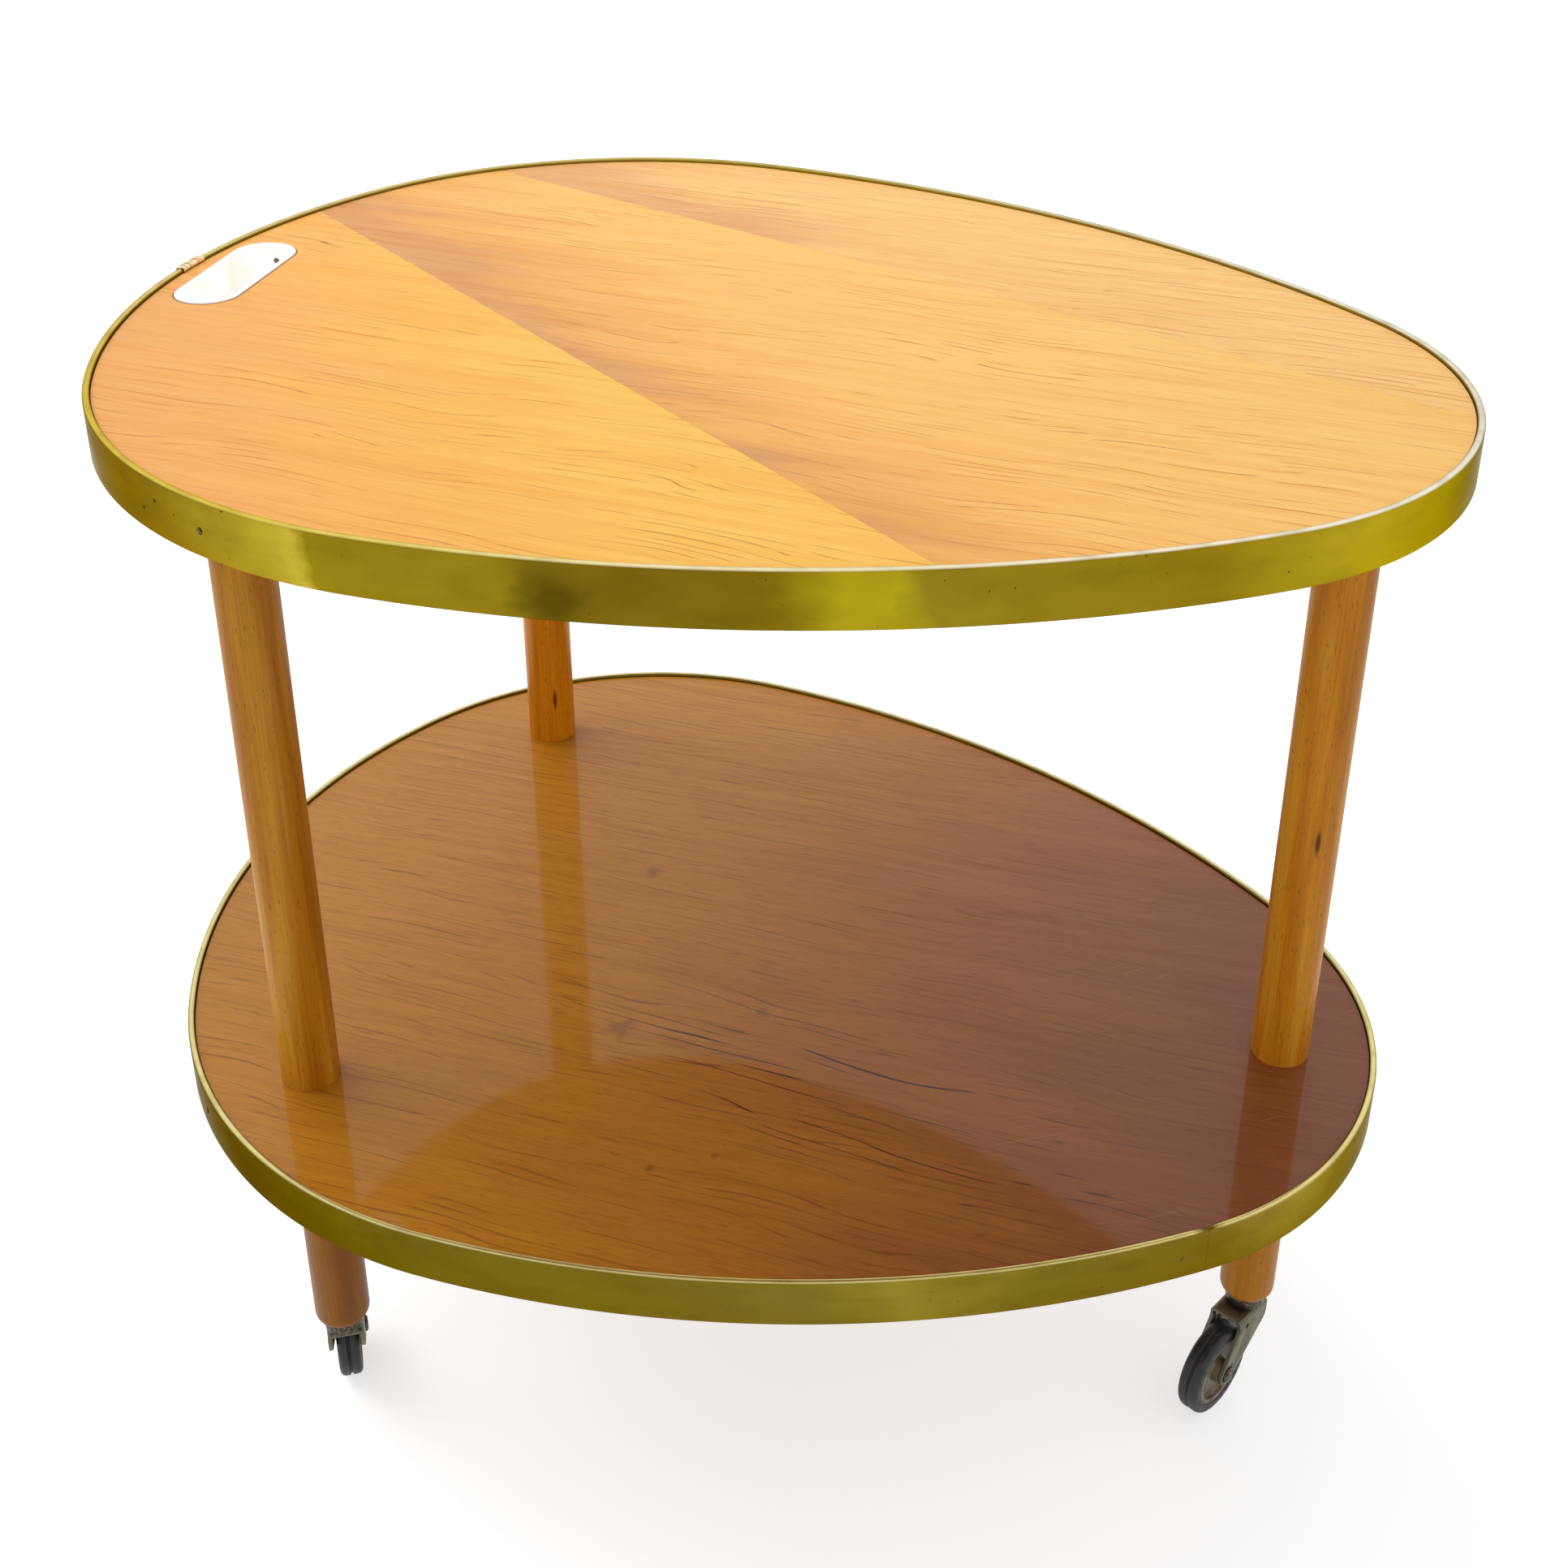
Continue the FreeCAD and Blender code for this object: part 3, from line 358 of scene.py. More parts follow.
def drawn_brass(name, wall_and_reflections, lip, lip_level, seed, reflected_post=None, specks=()):
    """Brass strip: satin metal, even along the draw. Its olive and bright stretches are partly tarnish and
    partly painted reflections, and its paler lip is partly wear and partly a painted reflection of the sky.
    """
    material, tree = finish(name, {"Metallic": 1.0, "Specular Tint": "#b8aa84"})
    here = add(tree, "ShaderNodeTexCoord", out="Object")
    axes = add(tree, "ShaderNodeSeparateXYZ", {"Vector": here}, None)
    angle = add(tree, MATH, (axes["Y"], axes["X"]), operation="ARCTAN2")
    part = add(tree, RANGE, (angle, -math.pi, math.pi))
    rough = patches(tree, (16, 16, 11), seed=seed, detail=3)
    fray = add(tree, RANGE, (rough, 0.3, 0.7, -FRAY, FRAY))
    turn = add(tree, MATH, (part, fray), operation="ADD")
    height = add(tree, MATH, (axes["Z"], (lip_level - HALF_WALL) * MM), operation="SUBTRACT")
    slant = add(tree, MATH, (height, BORDER_SLANT), operation="MULTIPLY")
    slanted = add(tree, MATH, (turn, slant), operation="ADD")
    colour = add(tree, "ShaderNodeValToRGB", {"Fac": slanted}, stops=wall_and_reflections)
    cloud = patches(tree, (30, 30, 12), seed=seed + 1, detail=3)
    colour = tinted(tree, colour, "#9a8a4a", cloud, (0.42, 0.7, 0.0, 0.2), "MULTIPLY")
    spots = patches(tree, (2.2, 2.2, 2.2), seed=seed + 2, detail=1)
    colour = tinted(tree, colour, "#4a3a10", spots, (0.75, 0.8))
    if reflected_post:
        # A soft dark patch on the wall: a painted reflection of a post
        spot = add(tree, "ShaderNodeCombineXYZ", {"X": turn, "Z": axes["Z"]})
        off = off_from(tree, spot, (reflected_post[0], 0, reflected_post[1] * MM), (POST_REFLECTION_SIZE[0], 1, POST_REFLECTION_SIZE[1] * MM))
        colour = tinted(tree, colour, "#463806", off, (0.3, 1.0, 0.75, 0.0))
    for place in specks:
        off = off_from(tree, here, [side * MM for side in place], [SPECK * MM] * 3)
        colour = tinted(tree, colour, "#2e240c", off, (0.5, 1.0, 0.9, 0.0))
    # The lip's paler tones: partly wear, partly a painted reflection of the sky
    rubbed = add(tree, "ShaderNodeValToRGB", {"Fac": turn}, stops=lip)
    dulled = patches(tree, (14, 14, 8), seed=seed + 3, detail=3)
    rubbed = tinted(tree, rubbed, "#a08c48", dulled, (0.46, 0.66, 0.0, 0.3))
    colour = tinted(tree, colour, rubbed, axes["Z"], [(lip_level + step) * MM for step in LIP_BORDER])
    dents = patches(tree, (34, 34, 16), seed=seed + 4, detail=1)
    return surface(material, colour, (cloud, 0.3, 0.7, 0.26, 0.38), (dents, 0.5, 0.5))


print("a border leans", round(BORDER_SLANT * HALF_WALL * MM * 360, 2), "degrees to each side of its middle")

# %% Tones along the two strips, painted reflections included
# Each stop is a share of one turn round the shelf, and the tone that the strip has there: tarnish and wear,
# with painted reflections and highlights
TOP_WALL_AND_REFLECTIONS = (
    (0.00, "#7d6f2a"), (0.09, "#806c34"), (0.15, "#877030"), (0.168, "#9a8428"), (0.179, "#ac962c"),
    (0.1889, "#bca836"), (0.1896, "#8b7816"), (0.236, "#8b7718"), (0.245, "#7a6712"), (0.257, "#745f12"),
    (0.30, "#78640e"), (0.315, "#a89618"), (0.329, "#a89618"), (0.336, "#8d7a1c"), (0.40, "#8c7412"),
    (0.435, "#b29c22"), (0.46, "#ae9a30"), (0.48, "#928448"), (0.52, "#8c7a2a"), (0.72, "#907a1c"),
    (1.00, "#7d6f2a"),
)
LOWER_WALL_AND_REFLECTIONS = (
    (0.00, "#6a5d22"), (0.08, "#605424"), (0.14, "#62551c"), (0.25, "#72631a"), (0.31, "#766824"),
    (0.335, "#8c7e2a"), (0.38, "#766820"), (0.42, "#7c6820"), (0.447, "#a08e46"), (0.48, "#8a7c48"),
    (0.60, "#6a5d1a"), (0.75, "#7a6a24"), (1.00, "#6a5d22"),
)
TOP_LIP_WEAR_AND_REFLECTION = (
    (0.00, "#f8e09a"), (0.10, "#eed470"), (0.17, "#e6ce58"), (0.22, "#efdb80"), (0.28, "#f6e8bc"),
    (0.42, "#fbf0da"), (0.48, "#fbf8ee"), (0.60, "#eee8d0"), (0.80, "#ccb868"), (1.00, "#f8e09a"),
)
LOWER_LIP_WEAR_AND_REFLECTION = ((0.00, "#ece0a0"), (0.25, "#eadf98"), (0.45, "#ecdf94"), (0.75, "#e6dcb0"), (1.00, "#ece0a0"))
# Place of the painted post reflection: share of a turn, and height in millimetres
POST_REFLECTION = (0.2475, 550.5)
SPECKS = ((-186.4, -228.4, 552.0), (-177.6, -233.1, 558.0))
top_brass = drawn_brass("drawn brass, top edge", TOP_WALL_AND_REFLECTIONS, TOP_LIP_WEAR_AND_REFLECTION, 566.8, 3.0, POST_REFLECTION, SPECKS)
lower_brass = drawn_brass("drawn brass, lower edge", LOWER_WALL_AND_REFLECTIONS, LOWER_LIP_WEAR_AND_REFLECTION, 224.7, 17.0)
print("brass stops:", len(TOP_WALL_AND_REFLECTIONS), "and", len(LOWER_WALL_AND_REFLECTIONS))

# %% [markdown]
# ## The edging strips
#
# A strip has one section all the way round: a wall, a half-round lip that stands over the veneer, and a
# short turn-in under the board. It follows a path, so a node tree sweeps it: the path becomes a curve, and
# Curve to Mesh draws the section along it. With the curve's normals set upright, the section's X always
# points out of the shelf. The lower strip's two ends were pulled down a little where they meet, so the tree
# also lets the lip droop near the ends.

# %% Build the sweep tree
def socket_in(tree, name, kind):
    """A named input of a geometry tree."""
    return tree.interface.new_socket(name, in_out="INPUT", socket_type=f"NodeSocket{kind}")


sweep = bpy.data.node_groups.new("sweep a section along a path", "GeometryNodeTree")
INPUTS = {"Path": "Geometry", "Section": "Object", "Droop": "Float", "Reach": "Float", "Above": "Float"}
for title, kind in {**INPUTS, "Material": "Material"}.items():
    socket_in(sweep, title, kind)
sweep.interface.new_socket("Strip", in_out="OUTPUT", socket_type="NodeSocketGeometry")
given = add(sweep, "NodeGroupInput", out=None)
line = add(sweep, "GeometryNodeMeshToCurve", {"Mesh": given["Path"]})
along = add(sweep, "GeometryNodeSplineParameter", out="Length")
whole = add(sweep, "GeometryNodeSplineLength")
left = add(sweep, MATH, (whole, along), operation="SUBTRACT")
to_end = add(sweep, MATH, (along, left), operation="MINIMUM")
mark = {"Geometry": line, "Name": "to_end", "Value": to_end}
marked = add(sweep, "GeometryNodeStoreNamedAttribute", mark, data_type="FLOAT", domain="POINT")
upright = add(sweep, "GeometryNodeSetCurveNormal", {"Curve": marked}, mode="Z_UP")
drawn = add(sweep, "GeometryNodeObjectInfo", {"Object": given["Section"]}, "Geometry")
section = add(sweep, "GeometryNodeMeshToCurve", {"Mesh": drawn})
swept = {"Curve": upright, "Profile Curve": section, "Fill Caps": True}
strip = add(sweep, "GeometryNodeCurveToMesh", swept)
print("sweep tree so far:", len(sweep.nodes), "nodes")

# %% Let the lip droop near the ends
nearness = add(sweep, "GeometryNodeInputNamedAttribute", {"Name": "to_end"}, data_type="FLOAT")
fall = (nearness, 0.0, given["Reach"], given["Droop"], 0.0)
drop = add(sweep, RANGE, fall, interpolation_type="SMOOTHSTEP")
spot = add(sweep, "GeometryNodeInputPosition")
height = add(sweep, "ShaderNodeSeparateXYZ", {"Vector": spot}, "Z")
is_lip = add(sweep, "FunctionNodeCompare", {"A": height, "B": given["Above"]}, operation="GREATER_THAN")
down = add(sweep, MATH, (drop, -1.0), operation="MULTIPLY")
offset = add(sweep, "ShaderNodeCombineXYZ", {"Z": down})
bent = {"Geometry": strip, "Selection": is_lip, "Offset": offset}
shaped = add(sweep, "GeometryNodeSetPosition", bent)
real = add(sweep, "GeometryNodeRealizeInstances", {"Geometry": shaped})
made = {"Geometry": real, "Material": given["Material"]}
add(sweep, "NodeGroupOutput", {"Strip": add(sweep, "GeometryNodeSetMaterial", made)}, None)
print("sweep tree:", len(sweep.nodes), "nodes")

# %% Run a tree and keep a plain mesh
def line_mesh(name, runs, closed, height=0.0):
    """A mesh of edges along runs of points given in millimetres."""
    verts = []
    edges = []
    for run in runs:
        first = len(verts)
        verts += [(x * MM, y * MM, height * MM) for x, y in run]
        edges += [(first + i, first + i + 1) for i in range(len(run) - 1)]
        if closed:
            edges.append((len(verts) - 1, first))
    mesh = bpy.data.meshes.new(name)
    mesh.from_pydata(verts, edges, [])
    return mesh


def grow(tree, start, values):
    """Run a geometry tree on a start mesh and give back a plain mesh."""
    base = bpy.data.objects.new("start", start)
    bpy.context.scene.collection.objects.link(base)
    run = base.modifiers.new("grow", "NODES")
    run.node_group = tree
    for item in tree.interface.items_tree:
        if item.name in values:
            run[item.identifier] = values[item.name]
    ready = base.evaluated_get(bpy.context.evaluated_depsgraph_get())
    mesh = bpy.data.meshes.new_from_object(ready)
    bpy.data.objects.remove(base)
    return mesh


def sweep_along(runs, height, section, material, closed=False, droop=(0.0, 1.0, 9.0)):
    """Sweep a section, in millimetres, along runs of points at a height."""
    # Along a path that runs anticlockwise, the section's Y axis hangs down, so it is turned over first
    flipped = [(x, -y) for x, y in section]
    drawn = bpy.data.objects.new("section", line_mesh("section", [flipped], True))
    bpy.context.scene.collection.objects.link(drawn)
    values = {"Section": drawn, "Material": material}
    values.update({"Droop": droop[0] * MM, "Reach": droop[1] * MM, "Above": droop[2] * MM})
    mesh = grow(sweep, line_mesh("path", runs, closed, height), values)
    bpy.data.objects.remove(drawn)
    return settle(mesh)


print("inputs of the sweep:", [*INPUTS, "Material"])

# %% Two brass strips
WALL = 1.0
LIP_WIDTH = 3.3
STRIP_HEIGHT = 24.5
LIP_UNDER = 21.8
STRIP = (
    (0, 0, 0.5),
    (0, STRIP_HEIGHT, 1.4),
    (-LIP_WIDTH, STRIP_HEIGHT, 1.4),
    (-LIP_WIDTH, LIP_UNDER, 0.3),
    (-WALL, LIP_UNDER, 0.2),
    (-WALL, WALL, 0.2),
    (-LIP_WIDTH, WALL, 0.2),
    (-LIP_WIDTH, 0, 0.3),
)
TOP_STRIP = 542.8
LOWER_STRIP = 200.5
section = rounded(STRIP)
top_run = path_from(*TOP_JOINT, 0.5)
lower_run = path_from(*LOWER_JOINT, 0.1)
droop = (0.9, 7.0, LOWER_STRIP + LIP_UNDER - 0.1)
mesh = sweep_along([top_run], TOP_STRIP, section, top_brass)
hand_in("top_edging", mesh, top_brass, "table", "top_band")
mesh = sweep_along([lower_run], LOWER_STRIP, section, lower_brass, droop=droop)
hand_in("lower_edging", mesh, lower_brass, "table", "lower_band")

# %% [markdown]
# ## The clip over the joint
#
# The joint of the top strip is hidden by a short ribbed clip of pale plated brass, folded over the lip. The
# same sweep makes it: once for the fold, and once for its six ribs, as six short runs of the path with a
# slightly larger section.

# %% Brass, stamped and plated
def plated_brass():
    """Thin plate over brass: pale cream metal, half glossy, warm where the plate has worn."""
    material, tree = finish("stamped brass, plated", {"Metallic": 1.0})
    worn = add(tree, RANGE, (patches(tree, (4, 4, 3), seed=5, detail=3), 0.4, 0.65))
    return surface(material, tinted(tree, "#fff2d4", "#e0b878", worn), (worn, 0.0, 1.0, 0.3, 0.45))


plated = plated_brass()
print("clip finish:", plated.name)

# %% Fold the clip and its ribs
CLIP_LENGTH = 19.0
RIBS = ((-9.5, -8.1), (-6.7, -4.4), (-3.0, -0.7), (0.7, 3.0), (4.4, 6.7), (8.1, 9.5))
LIP_TOP = TOP_STRIP + STRIP_HEIGHT
PLATE = 0.45
RIB = 0.7


def fold(outer):
    """Section of the clip: a thin strip folded over the lip, as thick as asked."""
    inner = 0.2
    edge = LIP_WIDTH + outer
    return rounded(
        (
            (outer, -5.0, 0.15),
            (outer, outer, 0.9),
            (-edge, outer, 0.9),
            (-edge, -1.5, 0.15),
            (-LIP_WIDTH - inner, -1.5, 0.1),
            (-LIP_WIDTH - inner, inner, 0.6),
            (inner, inner, 0.6),
            (inner, -5.0, 0.1),
        )
    )


def short_run(start, end):
    """Points of the outline between two distances from the joint."""
    arc, degrees = TOP_JOINT
    radius = next(row[2] for row in arcs if row[0] == arc)
    steps = np.linspace(start, end, 4)
    return [spot_on(arc, degrees + math.degrees(step / radius)) for step in steps]


clip = sweep_along([short_run(-CLIP_LENGTH / 2, CLIP_LENGTH / 2)], LIP_TOP, fold(PLATE), plated)
ribs = sweep_along([short_run(*rib) for rib in RIBS], LIP_TOP, fold(RIB), plated)
both = bmesh.new()
both.from_mesh(clip)
both.from_mesh(ribs)
both.to_mesh(clip)
both.free()
hand_in("joint_clip", settle(clip), plated, "table", "top_band_clip")

# %% [markdown]
# ## Pins and nails
#
# Small domed pins hold the strips, and two nails hold the liner of the hand hole. A tree puts one domed
# head on each point of a mesh and turns it to face along the point's own direction, which the mesh carries
# as an attribute. Only the heads are made, because the shanks are inside the wood.

# %% Build the tree that drives heads
heads = bpy.data.node_groups.new("domed heads on points", "GeometryNodeTree")
HEAD_INPUTS = {"Points": "Geometry", "Radius": "Float", "Rise": "Float", "Material": "Material"}
for title, kind in HEAD_INPUTS.items():
    socket_in(heads, title, kind)
heads.interface.new_socket("Heads", in_out="OUTPUT", socket_type="NodeSocketGeometry")
given = add(heads, "NodeGroupInput", out=None)
ball = {"Segments": 24, "Rings": 12, "Radius": given["Radius"]}
dome = add(heads, "GeometryNodeMeshUVSphere", ball)
flat = add(heads, MATH, (given["Rise"], given["Radius"]), operation="DIVIDE")
squeeze = add(heads, "ShaderNodeCombineXYZ", {"X": 1.0, "Y": 1.0, "Z": flat})
dome = add(heads, "GeometryNodeTransform", {"Geometry": dome, "Scale": squeeze})
aim = add(heads, "GeometryNodeInputNamedAttribute", {"Name": "aim"}, data_type="FLOAT_VECTOR")
facing = add(heads, "FunctionNodeAlignRotationToVector", {"Vector": aim}, axis="Z")
spread = {"Points": given["Points"], "Instance": dome, "Rotation": facing}
placed = add(heads, "GeometryNodeInstanceOnPoints", spread)
real = add(heads, "GeometryNodeRealizeInstances", {"Geometry": placed})
coated = add(heads, "GeometryNodeSetMaterial", {"Geometry": real, "Material": given["Material"]})
add(heads, "NodeGroupOutput", {"Heads": coated}, None)
print("heads tree:", len(heads.nodes), "nodes")

# %% Dull brass and dull steel
def dull_metal(name, pale, dark, seed):
    """Small hardware: metal gone dull, with dark grime that a cloth doesn't reach."""
    material, tree = finish(name, {"Metallic": 1.0, "Roughness": 0.4})
    grime = add(tree, RANGE, (patches(tree, (1.4, 1.4, 1.4), seed=seed, detail=3), 0.4, 0.65))
    return surface(material, tinted(tree, pale, dark, grime), (grime, 0.0, 1.0, 0.3, 0.55))


pin_brass = dull_metal("turned brass, dull", "#6a5a1e", "#2e240c", 8.0)
nail_steel = dull_metal("drawn steel, dull", "#8c857a", "#4a443b", 9.0)
print("pin and nail finishes:", pin_brass.name, "/", nail_steel.name)

# %% Drive the pins
HEAD_RADIUS = 1.6
HEAD_RISE = 0.6
PIN_HIGH = 11.25
TOP_PINS = (("near", 251.4), ("nose", 52.0), ("far", 122.0))
LOWER_PINS = (("nose", -57.0), ("near", 228.0), ("far", 96.0))


def drive(name, spots, material, node):
    """Domed heads at (place, direction) pairs in millimetres."""
    start = bpy.data.meshes.new(name)
    start.from_pydata([[part * MM for part in place] for place, way in spots], [], [])
    aims = start.attributes.new("aim", "FLOAT_VECTOR", "POINT")
    aims.data.foreach_set("vector", [part for place, way in spots for part in way])
    mesh = grow(heads, start, {"Radius": HEAD_RADIUS * MM, "Rise": HEAD_RISE * MM, "Material": material})
    hand_in(name, settle(mesh), material, "table", node)


def pin_spots(places, height):
    """Places on the outline with the direction that faces out of the shelf."""
    spots = []
    for arc, degrees in places:
        way = (math.cos(math.radians(degrees)), math.sin(math.radians(degrees)), 0.0)
        spots.append(((*spot_on(arc, degrees), height), way))
    return spots


drive("top_pins", pin_spots(TOP_PINS, TOP_STRIP + PIN_HIGH), pin_brass, "top_band_pins")
drive("lower_pins", pin_spots(LOWER_PINS, LOWER_STRIP + PIN_HIGH), pin_brass, "lower_band_pins")

# %% [markdown]
# ## The hand hole
#
# A slot near the blunt end is lined with white plastic, so that the table can be pulled by it. The liner is
# a thin wall with a small rounded rim that lies on the veneer. Its path is closed, two half circles and two
# straights, and the sweep tree makes it as it made the strips.

# %% Moulded plastic, white
def white_plastic():
    """White lining: glossy and clean, a little yellow in places."""
    # A faint glow stands for the light that bounces about between the white walls of the narrow hole
    glow = {"Emission Color": "#ffffff", "Emission Strength": 0.22}
    material, tree = finish("moulded plastic, white", glow)
    age = add(tree, RANGE, (patches(tree, (22, 22, 14), seed=12, detail=3), 0.5, 0.75))
    return surface(material, tinted(tree, "#ffffff", "#f6ead0", age), (age, 0.0, 1.0, 0.2, 0.34))


white = white_plastic()
print("liner finish:", white.name)

# %% Liner and nails
HAND_X = -280.4
HAND_Y = -3.9
HAND_TURN = math.radians(95.5)
HAND_STRAIGHT = 60.6
HAND_BORE = 13.1
HAND_RIM = 16.0
TOP_BOARD = 543.8
NAIL_HIGH = 557.3
LINER = ((0, 0, 0.3), (0, 22.2, 0.9), (2.9, 22.2, 0.45), (2.9, 21.5, 0), (1.6, 21.5, 0), (1.6, 0, 0.2))


def hand_spot(along, aside):
    """A place in the hand hole's own axes, in millimetres."""
    x = HAND_X + along * math.cos(HAND_TURN) - aside * math.sin(HAND_TURN)
    return x, HAND_Y + along * math.sin(HAND_TURN) + aside * math.cos(HAND_TURN)


loop = []
for end, start in ((1, -90), (-1, 90)):
    for angle in np.radians(np.linspace(start, start + 180, 25)):
        reach = end * HAND_STRAIGHT / 2 + HAND_BORE * math.cos(angle)
        loop.append(hand_spot(reach, HAND_BORE * math.sin(angle)))
mesh = sweep_along([loop], TOP_BOARD, rounded(LINER), white, closed=True)
hand_in("hand_hole_liner", mesh, white, "table", "grip_liner")
nails = []
for end in (1, -1):
    place = (*hand_spot(end * (HAND_STRAIGHT / 2 + HAND_BORE), 0.0), NAIL_HIGH)
    nails.append((place, (-end * math.cos(HAND_TURN), -end * math.sin(HAND_TURN), 0.0)))
drive("liner_nails", nails, nail_steel, "grip_nails")

# %% [markdown]
# ## Posts and feet
#
# Posts and feet are turned rods of beech, stained and lacquered. A turned piece is a section spun about an
# axis. Blender's Screw modifier would do it, but a few lines that lay rings of points also work about a
# slanted axis, and the wheels of the casters need that later.

# %% Spin a section about an axis
UPRIGHT = (0, 0, 1)
TURN_STEPS = 96


def turned(section, middle, axis=UPRIGHT, steps=TURN_STEPS):
    """Spin points of (radius, distance along the axis), in millimetres, about an axis through a point."""
    forward = Vector(axis).normalized()
    across = forward.orthogonal().normalized()
    beside = forward.cross(across)
    verts = []
    for radius, reach in section:
        for k in range(steps):
            angle = 2 * math.pi * k / steps
            out = across * (radius * math.cos(angle)) + beside * (radius * math.sin(angle))
            verts.append((Vector(middle) + out + forward * reach) * MM)
    faces = []
    for i in range(len(section)):
        j = (i + 1) % len(section)
        for k in range(steps):
            m = (k + 1) % steps
            faces.append((i * steps + k, i * steps + m, j * steps + m, j * steps + k))
    mesh = bpy.data.meshes.new("turned")
    mesh.from_pydata(verts, [], faces)
    work = bmesh.new()
    work.from_mesh(mesh)
    bmesh.ops.remove_doubles(work, verts=work.verts, dist=1e-7)
    bmesh.ops.dissolve_degenerate(work, edges=work.edges, dist=1e-7)
    work.to_mesh(mesh)
    work.free()
    return settle(mesh)


print("points round a turned piece:", TURN_STEPS)

# %% Beech, turned and lacquered
NICK_SIZE = (1.6, 1.6, 9.0)


def turned_beech(name, dark, mid, light, seed, nick=None):
    """Beech with the grain upright: amber, soft streaks, short dark flecks and a thin worn gloss."""
    gloss = {"Roughness": 0.42, "Specular IOR Level": 0.15, "Coat Weight": 0.07, "Coat Roughness": 0.1}
    material, tree = finish(name, gloss)
    broad = patches(tree, (10, 10, 190), seed=seed, detail=2)
    stops = [(0.34, dark), (0.5, mid), (0.66, light)]
    colour = add(tree, "ShaderNodeValToRGB", {"Fac": broad}, stops=stops)
    fibres = patches(tree, (1.1, 1.1, 45), seed=seed + 1)
    colour = tinted(tree, colour, "#d0a050", fibres, (0.4, 0.7, 0.0, 0.35), "MULTIPLY")
    # Real flecks are about 0.3 mm wide; drawn 0.7 mm wide so that they show
    flecks = patches(tree, (0.7, 0.7, 5), seed=seed + 2, detail=1)
    colour = tinted(tree, colour, "#70410c", flecks, (0.64, 0.72, 0.0, 0.6))
    # Pale streaks along the grain: partly scratches in the lacquer, partly a painted sheen
    scratches = patches(tree, (1.3, 1.3, 120), seed=seed + 3)
    colour = tinted(tree, colour, "#e0b060", scratches, (0.7, 0.74, 0.0, 0.5))
    if nick:
        here = add(tree, "ShaderNodeTexCoord", out="Object")
        off = off_from(tree, here, [part * MM for part in nick], [part * MM for part in NICK_SIZE])
        colour = tinted(tree, colour, "#3a1e08", off, (0.4, 1.0, 0.85, 0.0))
    return surface(material, colour, (broad, 0.3, 0.7, 0.36, 0.5), (fibres, 0.08, 0.3))


rod_wood = turned_beech("beech, turned, bare", "#b08550", "#c69b64", "#d4ad78", 120)
print("rod finish:", rod_wood.name)

# %% Turn posts and feet
LEGS = ("nose", "near", "far")
NICKS = {"nose": (266.9, -20.1, 355.0), "far": (-193.7, 146.7, 252.6)}
RADIUS = 14.0
EDGE = 0.8
FOOT_ROUND = 6.0
# Three copies of one beech, each toned to the light it gets: painted light and shade, darkest on the near
# leg
POST_TONES_LIT_AND_SHADED = {
    "nose": ("#c67c12", "#e0941c", "#ecae38"),
    "near": ("#b06c10", "#c48014", "#d6982a"),
    "far": ("#c67c0c", "#e4920e", "#f0a822"),
}
FOOT_TONES_LIT_AND_SHADED = {
    "nose": ("#c07a14", "#ca841a", "#d49022"),
    "near": ("#8c5410", "#985e12", "#a46a18"),
    "far": ("#a0620e", "#ac6c12", "#b87818"),
}
for i, leg in enumerate(LEGS):
    post_name = f"beech, turned and lacquered, {leg} post"
    foot_name = f"beech, turned and lacquered, {leg} foot"
    post_wood = turned_beech(post_name, *POST_TONES_LIT_AND_SHADED[leg], 20 + 9 * i, NICKS.get(leg))
    foot_wood = turned_beech(foot_name, *FOOT_TONES_LIT_AND_SHADED[leg], 60 + 9 * i)
    for piece, wood, bottom in (("post", post_wood, EDGE), ("foot", foot_wood, FOOT_ROUND)):
        low, high = [Vector(corner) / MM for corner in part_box(f"{piece}_{leg}")]
        middle = (low + high) / 2
        tall = high.z - low.z
        rod = rounded(((0, 0, 0), (RADIUS, 0, bottom), (RADIUS, tall, EDGE), (0, tall, 0)))
        mesh = turned(rod, (middle.x, middle.y, low.z))
        hand_in(f"{leg}_{piece}", mesh, wood, "table", f"{piece}_{leg}")

# %% [markdown]
# ## Casters
#
# Each caster is a pressed ring, a stamped steel fork that swivels on a stem, and a plastic wheel with a
# rubber tyre on a riveted axle. Ring, stem, axle, wheel and tyre are all turned. The fork is a folded plate
# with arms swept back to the axle, and its solid has the right shape, so a copy of the solid is merged and
# its stamped edges are softened with a small bevel.

# %% Stamped steel, plated and dull
PLATE_SHADE = (52.8, 54.0)


